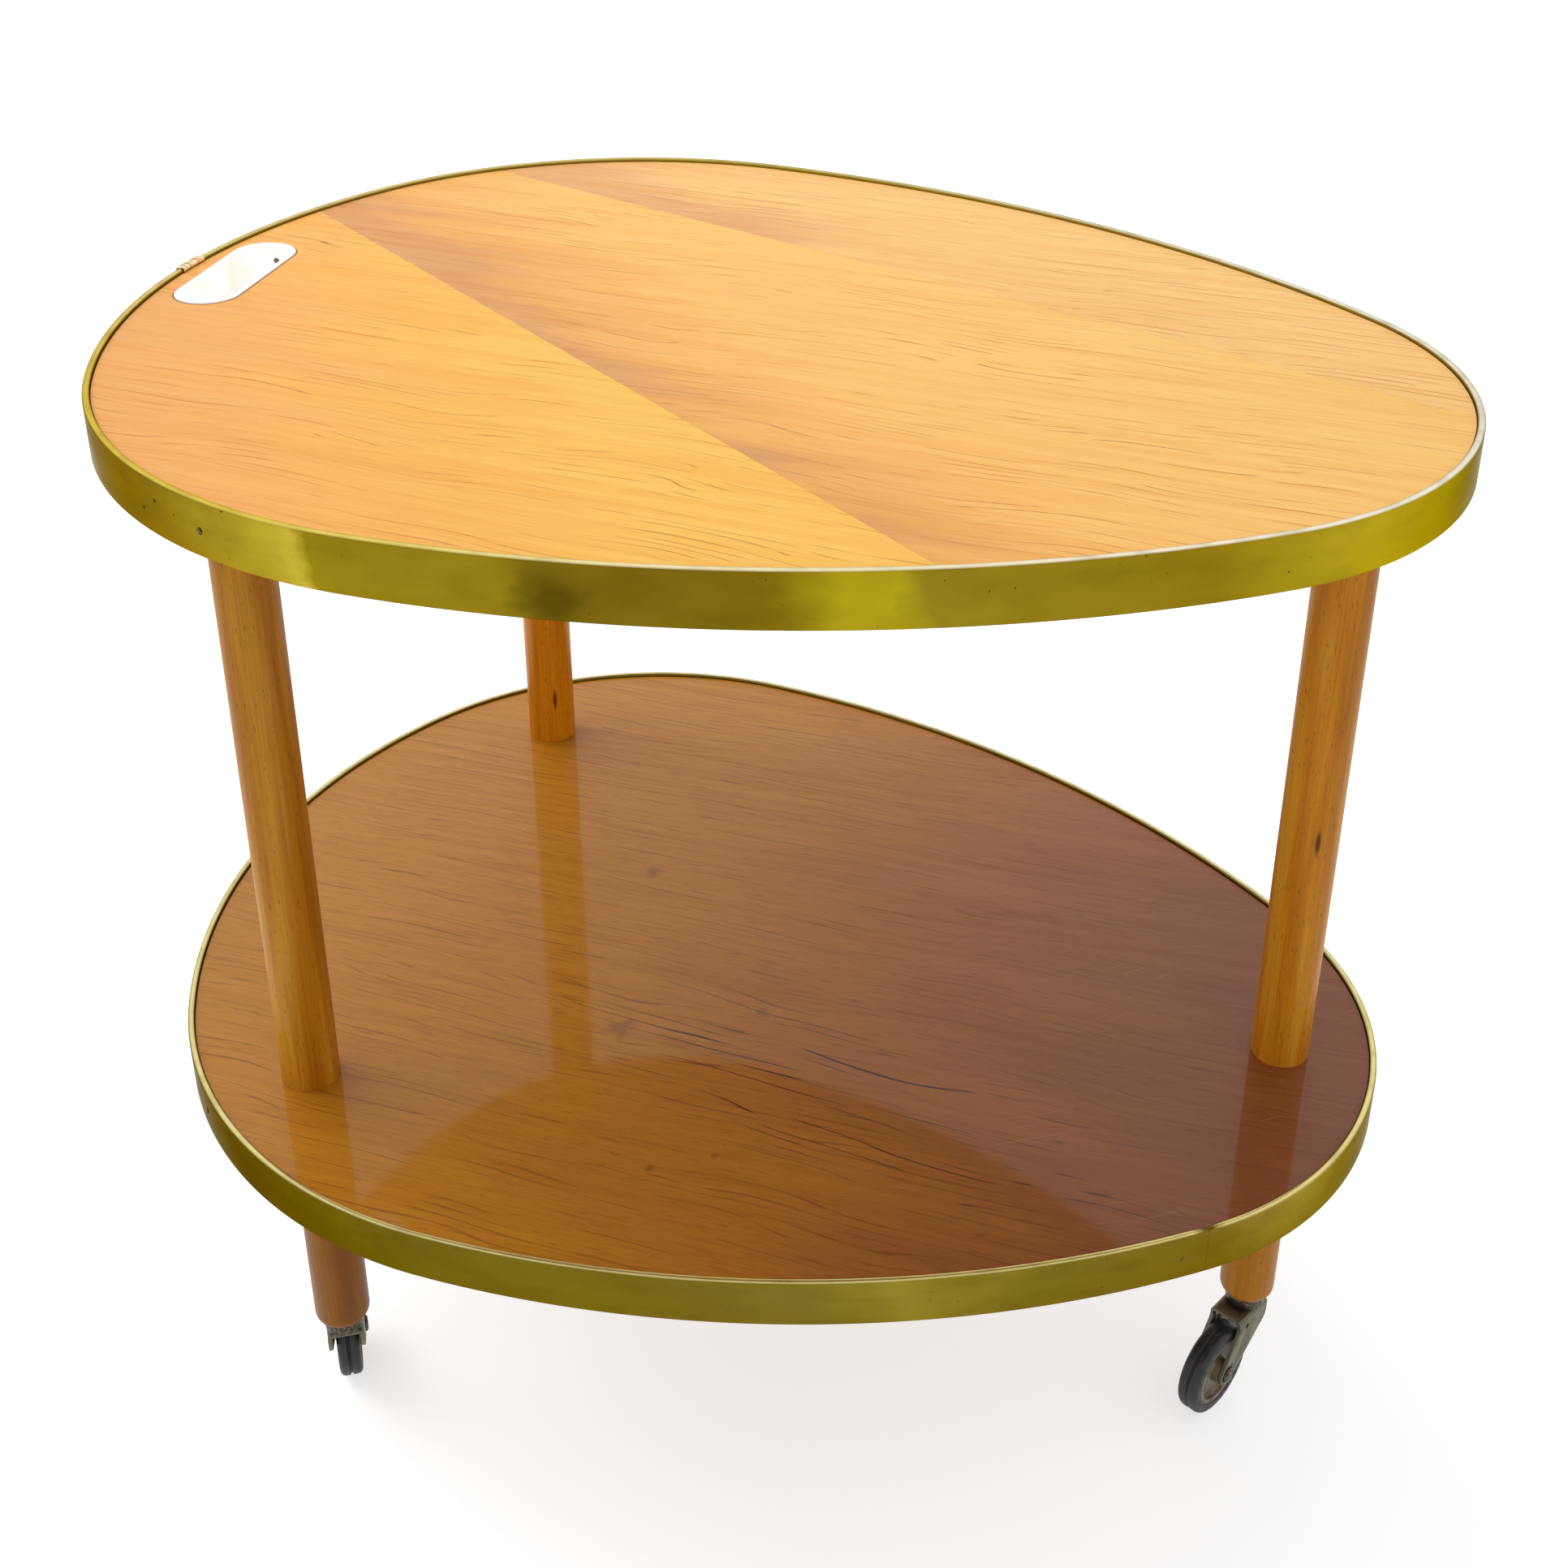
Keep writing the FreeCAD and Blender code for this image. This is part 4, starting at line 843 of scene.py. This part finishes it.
def stamped_steel():
    """Zinc plating gone dull: olive grey, softly blotched, brown grime, edges rubbed bright, and painted
    shade on the top of the plate.
    """
    material, tree = finish("stamped steel, zinc plated, dull", {"Metallic": 1.0, "Roughness": 0.5})
    blotch = patches(tree, (11, 11, 11), seed=31, detail=3)
    stops = [(0.36, "#2a2822"), (0.5, "#43423a"), (0.66, "#57564b")]
    colour = add(tree, "ShaderNodeValToRGB", {"Fac": blotch}, stops=stops)
    grime = patches(tree, (4, 4, 4), seed=32, detail=3)
    colour = tinted(tree, colour, "#3a2c20", grime, (0.56, 0.7, 0.0, 0.7))
    here = add(tree, "ShaderNodeTexCoord", out="Object")
    high = add(tree, "ShaderNodeSeparateXYZ", {"Vector": here}, "Z")
    # Painted shade darkens the top of the plate that carries the swivel, under the race and the foot
    colour = tinted(tree, colour, "#2c211b", high, (*[level * MM for level in PLATE_SHADE], 0.0, 0.75))
    rubbed = add(tree, "ShaderNodeAttribute", out="Fac", attribute_name="rubbed")
    rubbed = add(tree, MATH, (rubbed, 0.45), operation="MULTIPLY")
    colour = tinted(tree, colour, "#98957f", rubbed)
    grit = patches(tree, (1.2, 1.2, 1.2), seed=33)
    return surface(material, colour, (blotch, 0.35, 0.65, 0.58, 0.42), (grit, 0.05, 0.3))


fork_steel = stamped_steel()
stem_steel = dull_metal("turned steel, dull and greasy", "#625c50", "#2e2820", 40.0)
print("fork and stem finishes:", fork_steel.name, "/", stem_steel.name)

# %% Rubber and nylon, moulded
def tyre_rubber():
    """Moulded rubber: nearly black, matt, with a little dust that greys the tread."""
    material, tree = finish("rubber, moulded", {"Roughness": 0.6, "IOR": 1.52})
    dust = add(tree, RANGE, (patches(tree, (4, 4, 4), seed=35, detail=4), 0.46, 0.7))
    colour = tinted(tree, "#1b1c1d", "#3a3937", dust)
    scuff = patches(tree, (1.0, 1.0, 1.0), seed=36, detail=2)
    colour = tinted(tree, colour, "#5d5a55", scuff, (0.64, 0.72, 0.0, 0.5))
    return surface(material, colour, (dust, 0.0, 1.0, 0.48, 0.75), (dust, 0.1, 0.3))


def wheel_plastic():
    """Moulded wheel: taupe, satin, darker with grease in patches."""
    material, tree = finish("nylon, moulded, taupe", {"Roughness": 0.45, "IOR": 1.53})
    grime = add(tree, RANGE, (patches(tree, (7, 7, 7), seed=38, detail=4), 0.44, 0.72))
    return surface(material, tinted(tree, "#8d7c64", "#5c4f3e", grime), (grime, 0.0, 1.0, 0.38, 0.6))


rubber = tyre_rubber()
taupe = wheel_plastic()
print("wheel finishes:", rubber.name, "/", taupe.name)

# %% Turn the round pieces
REST_TURN = {"nose": -115.0, "near": 122.0, "far": 40.0}
TRAIL = 26.0
WHEEL_HIGH = 25.0
RACE = ((4.05, 55.3, 0), (10, 55.3, 0.6), (10, 62.0, 2.0), (4.05, 62.0, 0))
STEM = ((0, 50.2, 0), (4.0, 50.2, 0.8), (6.5, 52.7, 0.4), (4, 52.7, 0), (4, 97.0, 0.4), (0, 97.0, 0))
AXLE = ((0, -11, 0), (3.4, -11, 0.8), (5, -9.4, 0.4), (3, -9.4, 0), (3, 9.4, 0), (5, 9.4, 0.4))
AXLE += ((3.4, 11, 0.8), (0, 11, 0))
HUB = ((3.05, -7, 0.3), (6.5, -7, 0.6), (6.5, -2.5, 1.2), (16.5, -2.5, 1.4), (16.5, -5.5, 0.5))
HUB += ((19, -5.5, 0),)
HUB += tuple((r, -s, soft) for r, s, soft in reversed(HUB))
TYRE = ((19, -6, 0.4), (25, -6, 3.0), (25, -1, 0.4), (23.6, 0, 0.4), (25, 1, 0.4))
TYRE += ((25, 6, 3.0), (19, 6, 0.4))
for leg in LEGS:
    low, high = [Vector(corner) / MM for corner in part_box(f"foot_{leg}")]
    x = (low.x + high.x) / 2
    y = (low.y + high.y) / 2
    turn = math.radians(REST_TURN[leg])
    hub_middle = (x + TRAIL * math.cos(turn), y + TRAIL * math.sin(turn), WHEEL_HIGH)
    across = (-math.sin(turn), math.cos(turn), 0)
    wheel = f"wheel_{leg}"
    rounds = (
        ("race", RACE, (x, y, 0), UPRIGHT, stem_steel, "table"),
        ("stem", STEM, (x, y, 0), UPRIGHT, stem_steel, "table"),
        ("axle", AXLE, hub_middle, across, stem_steel, f"swivel_{leg}"),
        ("hub", HUB, hub_middle, across, taupe, wheel),
        ("tyre", TYRE, hub_middle, across, rubber, wheel),
    )
    for piece, outline, middle, axis, material, body in rounds:
        mesh = turned(rounded(outline), middle, axis)
        hand_in(f"{leg}_{piece}", mesh, material, body, f"caster_{leg}_{piece}")

# %% Soften the forks
def softened(node, width=0.35, sharp=35):
    """A merged copy of a solid with its sharp edges bevelled by a width in millimetres."""
    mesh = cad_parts[node].data.copy()
    work = bmesh.new()
    work.from_mesh(mesh)
    bmesh.ops.remove_doubles(work, verts=work.verts, dist=1e-6)
    bmesh.ops.recalc_face_normals(work, faces=work.faces)
    bmesh.ops.dissolve_limit(work, angle_limit=math.radians(2), verts=work.verts, edges=work.edges)
    keen = [e for e in work.edges if e.is_manifold and e.calc_face_angle() > math.radians(sharp)]
    mark = work.verts.layers.float.new("rubbed")
    bevel = {"offset": width * MM, "segments": 2, "affect": "EDGES", "clamp_overlap": True}
    soft = bmesh.ops.bevel(work, geom=keen, **bevel)
    for vert in soft["verts"]:
        vert[mark] = 1.0
    bmesh.ops.triangulate(work, faces=[face for face in work.faces if len(face.verts) > 4])
    work.to_mesh(mesh)
    work.free()
    return settle(mesh)


for leg in LEGS:
    node = f"caster_{leg}_fork"
    hand_in(f"{leg}_fork", softened(node), fork_steel, f"swivel_{leg}", node)

# %% [markdown]
# ## The top's veneer
#
# The top is laid with three leaves of honey-coloured veneer. Cut one after the other from the same flitch,
# each runs from a darker edge to a paler one, so two seams show as a jump in tone. The solids have the
# right shape, and only the material is made here: a ramp across the leaf, soft streaks, fine fibres, a few
# checks, which are the thin dark cracks along the grain, and a satin lacquer.

# %% Painted shadow round the hand hole
RIM_SHADOW = (0.3, 1.2)


def rim_shadow_line(tree):
    """A thin dark line round the rim of the hand hole's liner: a painted shadow under its rim."""
    laid = {"Vector": add(tree, "ShaderNodeTexCoord", out="Object")}
    laid.update({"Location": (HAND_X * MM, HAND_Y * MM, 0), "Rotation": (0, 0, HAND_TURN)})
    local = add(tree, "ShaderNodeMapping", laid, vector_type="TEXTURE")
    axes = add(tree, "ShaderNodeSeparateXYZ", {"Vector": local}, None)
    far = add(tree, MATH, (axes["X"],), operation="ABSOLUTE")
    past = add(tree, MATH, (far, HAND_STRAIGHT / 2 * MM), operation="SUBTRACT")
    along = add(tree, MATH, (past, 0.0), operation="MAXIMUM")
    spot = add(tree, "ShaderNodeCombineXYZ", {"X": along, "Y": axes["Y"]})
    off = add(tree, "ShaderNodeVectorMath", (spot,), "Value", operation="LENGTH")
    reach = [(HAND_RIM + step) * MM for step in RIM_SHADOW]
    return add(tree, RANGE, (off, *reach, 0.9, 0.0))


print("the line starts", HAND_RIM + RIM_SHADOW[0], "mm from the hand hole's middle line")

# %% Veneer, sliced and lacquered in satin
CHECK_APART = 4.6
CHECK_WIDE = 0.7


def honey_veneer(name, seam, reach, lean, tones, turn, seed):
    """Honey veneer in satin: the tone runs across the leaf from its seam, thin checks follow the grain."""
    material, tree = finish(name, {"Roughness": 0.45, "Specular IOR Level": 0.25})
    place, degrees = seam
    laid = {"Vector": add(tree, "ShaderNodeTexCoord", out="Object")}
    laid["Location"] = (place[0] * MM, place[1] * MM, 0)
    laid["Rotation"] = (0, 0, math.radians(degrees))
    across = add(tree, "ShaderNodeMapping", laid, vector_type="TEXTURE")
    axes = add(tree, "ShaderNodeSeparateXYZ", {"Vector": across}, None)
    leaned = add(tree, MATH, (axes["X"], lean), operation="MULTIPLY")
    far_off = add(tree, MATH, (axes["Y"], leaned), operation="ADD")
    wander = add(tree, RANGE, (patches(tree, (150, 34, 34), turn, seed, 3), 0.3, 0.7, -0.03, 0.03))
    wandered = add(tree, MATH, (far_off, wander), operation="ADD")
    tone = add(tree, RANGE, (wandered, reach[0] * MM, reach[1] * MM))
    colour = add(tree, "ShaderNodeValToRGB", {"Fac": tone}, stops=tones)
    streaks = patches(tree, (240, 6, 6), turn, seed + 1, 3, sway=14)
    colour = tinted(tree, colour, "#e8bd84", streaks, (0.44, 0.68, 0.0, 0.22), "MULTIPLY")
    fibres = patches(tree, (40, 0.9, 0.9), turn, seed + 2, sway=14)
    colour = tinted(tree, colour, "#e0b47c", fibres, (0.42, 0.7, 0.0, 0.22), "MULTIPLY")
    # Checks are about 0.2 mm wide; drawn wider so that they show
    checks = grain_lines(tree, CHECK_APART, CHECK_WIDE, 60, turn, seed + 3, 34)
    crowd = add(tree, RANGE, (patches(tree, (130, 45, 45), turn, seed + 4), 0.38, 0.62, 0.25, 0.8))
    crowded = add(tree, MATH, (checks, crowd), operation="MULTIPLY")
    colour = tinted(tree, colour, "#a35c14", crowded)
    specks = patches(tree, (1.3, 1.3, 1.3), turn, seed + 5, 1)
    colour = tinted(tree, colour, "#8a5a26", specks, (0.79, 0.82))
    # A thin painted shadow round the liner's rim
    colour = tinted(tree, colour, "#4a2a12", rim_shadow_line(tree))
    return surface(material, colour, (streaks, 0.3, 0.7, 0.42, 0.52), (checks, -0.03, 0.2))


print("checks:", CHECK_WIDE, "mm wide and", CHECK_APART, "mm apart")

# %% Three leaves
NEAR_SEAM = ((-79.1, -55.9), -36.0)
FAR_SEAM = ((-67.7, 137.1), -20.7)
NEAR_TONES = ((0.0, "#e8a660"), (0.45, "#f4b25a"), (0.8, "#fabd55"), (1.0, "#fdc65a"))
MID_TONES = ((0.0, "#dd9f60"), (0.14, "#f0b05c"), (0.42, "#fdc468"), (1.0, "#fdc96e"))
FAR_TONES = ((0.0, "#e9ac6c"), (0.25, "#fac578"), (1.0, "#fdcd7e"))
near_leaf = honey_veneer("veneer, satin lacquer, near leaf", NEAR_SEAM, (-260, 0), 0.4, NEAR_TONES, -3, 71)
mid_leaf = honey_veneer("veneer, satin lacquer, mid leaf", NEAR_SEAM, (0, 210), 0.12, MID_TONES, -4, 82)
far_leaf = honey_veneer("veneer, satin lacquer, far leaf", FAR_SEAM, (0, 170), 0.25, FAR_TONES, -4, 93)
for node, material in (("near", near_leaf), ("mid", mid_leaf), ("far", far_leaf)):
    dress(f"top_leaf_{node}", material)
print("top leaves dressed")

# %% [markdown]
# ## The lower shelf's veneer
#
# The lower shelf has one sheet of darker veneer under a hard gloss, so it mirrors the posts and the
# underside of the top. Its grain is short dark pores, and it has seen use: a few smudges, pale scratches
# and spots. The gloss is a clear coat over a rougher wood, because a real lacquer is just that.

# %% Marks of use
VENEER_HIGH = 223.0
SMUDGES = (
    (-53.4, -93.0, 10, "#7a3f2c"),
    (10.8, -60.5, 5, "#7a3f2c"),
    (22.6, -165.3, 3, "#4a2410"),
    (-3.0, -182.0, 3, "#4a2410"),
    (-86.5, 35.9, 6, "#6a3818"),
)


def used(tree, here, along, colour):
    """Marks of use over a colour: smudges in their places, and pale scratches toward the nose."""
    for x, y, size, tint in SMUDGES:
        off = off_from(tree, here, (x * MM, y * MM, VENEER_HIGH * MM), [size * MM] * 3)
        ragged = add(tree, RANGE, (patches(tree, (5, 5, 5), seed=106), 0.3, 0.7, -0.4, 0.4))
        reach = add(tree, MATH, (off, ragged), operation="ADD")
        colour = tinted(tree, colour, tint, reach, (0.2, 1.0, 0.5, 0.0))
    scratches = grain_lines(tree, 9.0, 0.7, 22, 30, 105, 60)
    toward_nose = add(tree, RANGE, (along, 0.02, 0.2, 0.0, 0.5))
    some = add(tree, RANGE, (patches(tree, (50, 50, 50), seed=108), 0.52, 0.6))
    some = add(tree, MATH, (toward_nose, some), operation="MULTIPLY")
    scratched = add(tree, MATH, (scratches, some), operation="MULTIPLY")
    return tinted(tree, colour, "#bd8a5c", scratched)


print("smudges:", len(SMUDGES))

# %% Veneer, stained and polished
CRACKED = (75.0, -110.0, VENEER_HIGH)
CRACKED_SIZE = (150.0, 50.0, 1000.0)
CRACKED_TURN = -0.2


def polished_veneer():
    """Stained veneer under gloss: amber to red-brown toward the nose, partly painted shade, dark dashes
    along the grain, a soft mirror on top.
    """
    gloss = {"Roughness": 0.5, "Specular IOR Level": 0.2}
    gloss.update({"Coat Weight": 0.55, "Coat Roughness": 0.06, "Coat IOR": 1.5})
    material, tree = finish("veneer, stained and polished", gloss)
    here = add(tree, "ShaderNodeTexCoord", out="Object")
    along = add(tree, "ShaderNodeSeparateXYZ", {"Vector": here}, "X")
    wander = add(tree, RANGE, (patches(tree, (120, 50, 50), 2, 101, 3), 0.3, 0.7, -0.05, 0.05))
    wandered = add(tree, MATH, (along, wander), operation="ADD")
    # Amber to red-brown toward the nose: partly the veneer's own tone, partly painted shade from the top
    # above
    share = add(tree, RANGE, (wandered, -0.28, 0.25))
    stops = [(0.0, "#b87c1c"), (0.4, "#c28018"), (0.62, "#b87420"), (0.85, "#a26028"), (1.0, "#945226")]
    colour = add(tree, "ShaderNodeValToRGB", {"Fac": share}, stops=stops)
    streaks = patches(tree, (220, 6, 6), 2, 102, 3, sway=14)
    colour = tinted(tree, colour, "#c08a4a", streaks, (0.42, 0.7, 0.0, 0.2), "MULTIPLY")
    fibres = patches(tree, (30, 0.9, 0.9), 2, 107, sway=14)
    colour = tinted(tree, colour, "#b88248", fibres, (0.45, 0.7, 0.0, 0.22), "MULTIPLY")
    # Pores are about 0.2 mm wide; drawn 0.8 mm wide so that they show
    pores = add(tree, RANGE, (patches(tree, (14, 0.8, 0.8), 2, 103, 1, sway=14), 0.64, 0.7, 0.0, 0.35))
    colour = tinted(tree, colour, "#4f2a0c", pores)
    lines = grain_lines(tree, 4.4, 0.8, 60, -1, 109, 20)
    faint = add(tree, MATH, (lines, 0.55), operation="MULTIPLY")
    colour = tinted(tree, colour, "#6a3a0e", faint)
    cracks = grain_lines(tree, 5.2, 1.0, 90, -5, 114, 20)
    ends = ([part * MM for part in CRACKED], [part * MM for part in CRACKED_SIZE])
    off = off_from(tree, here, *ends, CRACKED_TURN)
    region = add(tree, RANGE, (off, 0.6, 1.3, 1.0, 0.1))
    deep = add(tree, MATH, (cracks, region), operation="MULTIPLY")
    colour = tinted(tree, colour, "#3a1c0a", deep)
    colour = used(tree, here, along, colour)
    open_grain = add(tree, MATH, (cracks, pores), operation="MAXIMUM")
    return surface(material, colour, (streaks, 0.3, 0.7, 0.42, 0.58), (open_grain, -0.04, 0.4))


dress("lower_veneer", polished_veneer())
print("lower shelf dressed")

# %% [markdown]
# ## Boards and hidden rods
#
# The boards under the veneers are blockboard: strips of pale softwood side by side. They show from below
# and inside the hand hole. Dowels and studs are hidden in the wood, and still get the finish of what they
# are.

# %% Blockboard, sanded
STRIP_WIDE = 24.0


def blockboard():
    """Sanded softwood strips, each with its own tone, fine fibres along them and thin dark joints."""
    material, tree = finish("blockboard, sanded", {"Roughness": 0.65})
    here = add(tree, "ShaderNodeTexCoord", out="Object")
    wide = add(tree, "ShaderNodeSeparateXYZ", {"Vector": here}, "Y")
    strips = add(tree, MATH, (wide, STRIP_WIDE * MM), operation="DIVIDE")
    strip = add(tree, MATH, (strips,), operation="FLOOR")
    tone = add(tree, "ShaderNodeTexWhiteNoise", {"W": strip}, noise_dimensions="1D")
    colour = tinted(tree, "#a77c48", "#c69a62", tone)
    rings = patches(tree, (260, 5, 5), 0, 111, 3)
    colour = tinted(tree, colour, "#b98a52", rings, (0.4, 0.65, 0.0, 0.6), "MULTIPLY")
    fibres = patches(tree, (30, 1.0, 1.0), 0, 112)
    colour = tinted(tree, colour, "#a97f50", fibres, (0.45, 0.7, 0.0, 0.5), "MULTIPLY")
    place = add(tree, MATH, (strips,), operation="FRACT")
    aside = add(tree, MATH, (place, 0.5), operation="SUBTRACT")
    off = add(tree, MATH, (aside,), operation="ABSOLUTE")
    colour = tinted(tree, colour, "#5a3c1c", off, (0.485, 0.5, 0.0, 0.6))
    return surface(material, colour, (fibres, 0.3, 0.7, 0.58, 0.74), (fibres, 0.1, 0.4))


board = blockboard()
HIDDEN = {"top_board": board, "lower_board": board, "post_dowels": rod_wood, "leg_studs": stem_steel}
for node, material in HIDDEN.items():
    dress(node, material)
print("boards and rods dressed")

# %% [markdown]
# ## Floor, light and camera
#
# The table was photographed on white. The floor is a large pale sheet whose own light is topped up only for
# rays that the camera, a gloss or a clear coat sends, so it reads white without lighting the table more,
# and it still darkens in the table's shadow. The world does the same for what lies behind. One large soft
# lamp from the upper left, a little behind, gives the light a direction.

# %% Floor
FLOOR_GREY = "#e4e4e4"
TOP_UP = 0.6
HALF_FLOOR = 7.0


def shown_rays(tree):
    """1 for rays that show a surface, from the camera or by gloss or glass, and 0 for rays that light."""
    seen = add(tree, "ShaderNodeLightPath", out=None)
    shown = add(tree, MATH, (seen["Is Camera Ray"], seen["Is Glossy Ray"]), operation="MAXIMUM")
    return add(tree, MATH, (shown, seen["Is Transmission Ray"]), operation="MAXIMUM")


mesh = bpy.data.meshes.new("floor")
corners = [(x * HALF_FLOOR, y * HALF_FLOOR, 0) for x, y in ((-1, -1), (1, -1), (1, 1), (-1, 1))]
mesh.from_pydata(corners, [], [(0, 1, 2, 3)])
floor = bpy.data.objects.new("floor", mesh)
bpy.context.scene.collection.objects.link(floor)
matt = {"Roughness": 0.9, "Base Color": FLOOR_GREY, "Specular IOR Level": 0.0, "Emission Color": "#ffffff"}
paper, tree = finish("paper sheet, matt white", matt)
own_light = add(tree, MATH, (shown_rays(tree), TOP_UP), operation="MULTIPLY")
tree.links.new(own_light, tree.nodes["Principled BSDF"].inputs["Emission Strength"])
mesh.materials.append(paper)
print("floor:", 2 * HALF_FLOOR, "m wide")

# %% World and lamp
world = bpy.data.worlds.new("studio")
bpy.context.scene.world = world
world.use_nodes = True
tree = world.node_tree
soft = tree.nodes["Background"]
soft.inputs["Color"].default_value = linear("#ffffff")
soft.inputs["Strength"].default_value = 0.6
bright = add(tree, "ShaderNodeBackground", {"Color": "#ffffff", "Strength": 1.0})
mixed = add(tree, "ShaderNodeMixShader", (shown_rays(tree), soft.outputs[0], bright))
tree.links.new(mixed, tree.nodes["World Output"].inputs["Surface"])
lamp = bpy.data.lights.new("key", "AREA")
lamp.shape = "DISK"
lamp.size = 3.0
lamp.energy = 48.0
key = bpy.data.objects.new("key", lamp)
key.location = (-1.6, 0.4, 2.5)
key.rotation_euler = (Vector((0, 0, 0.4)) - key.location).to_track_quat("-Z", "Y").to_euler()
# The lamp lights the table but isn't mirrored in the lacquer, as a bright room's even light wouldn't be
key.visible_glossy = False
bpy.context.scene.collection.objects.link(key)
print("lamp:", lamp.energy, "W at", tuple(key.location))

# %% Camera
lens = bpy.data.cameras.new("camera")
lens.lens = 47.47
lens.sensor_width = 36.0
lens.sensor_fit = "HORIZONTAL"
lens.shift_y = -0.1273
camera = bpy.data.objects.new("camera", lens)
camera.location = (0.2804, -0.8459, 0.8970)
camera.rotation_euler = (math.radians(62.639), 0.0, math.radians(18.21))
bpy.context.scene.collection.objects.link(camera)
bpy.context.scene.camera = camera
bpy.context.scene.view_settings.view_transform = "Standard"
print("camera at", tuple(round(part, 3) for part in camera.location))
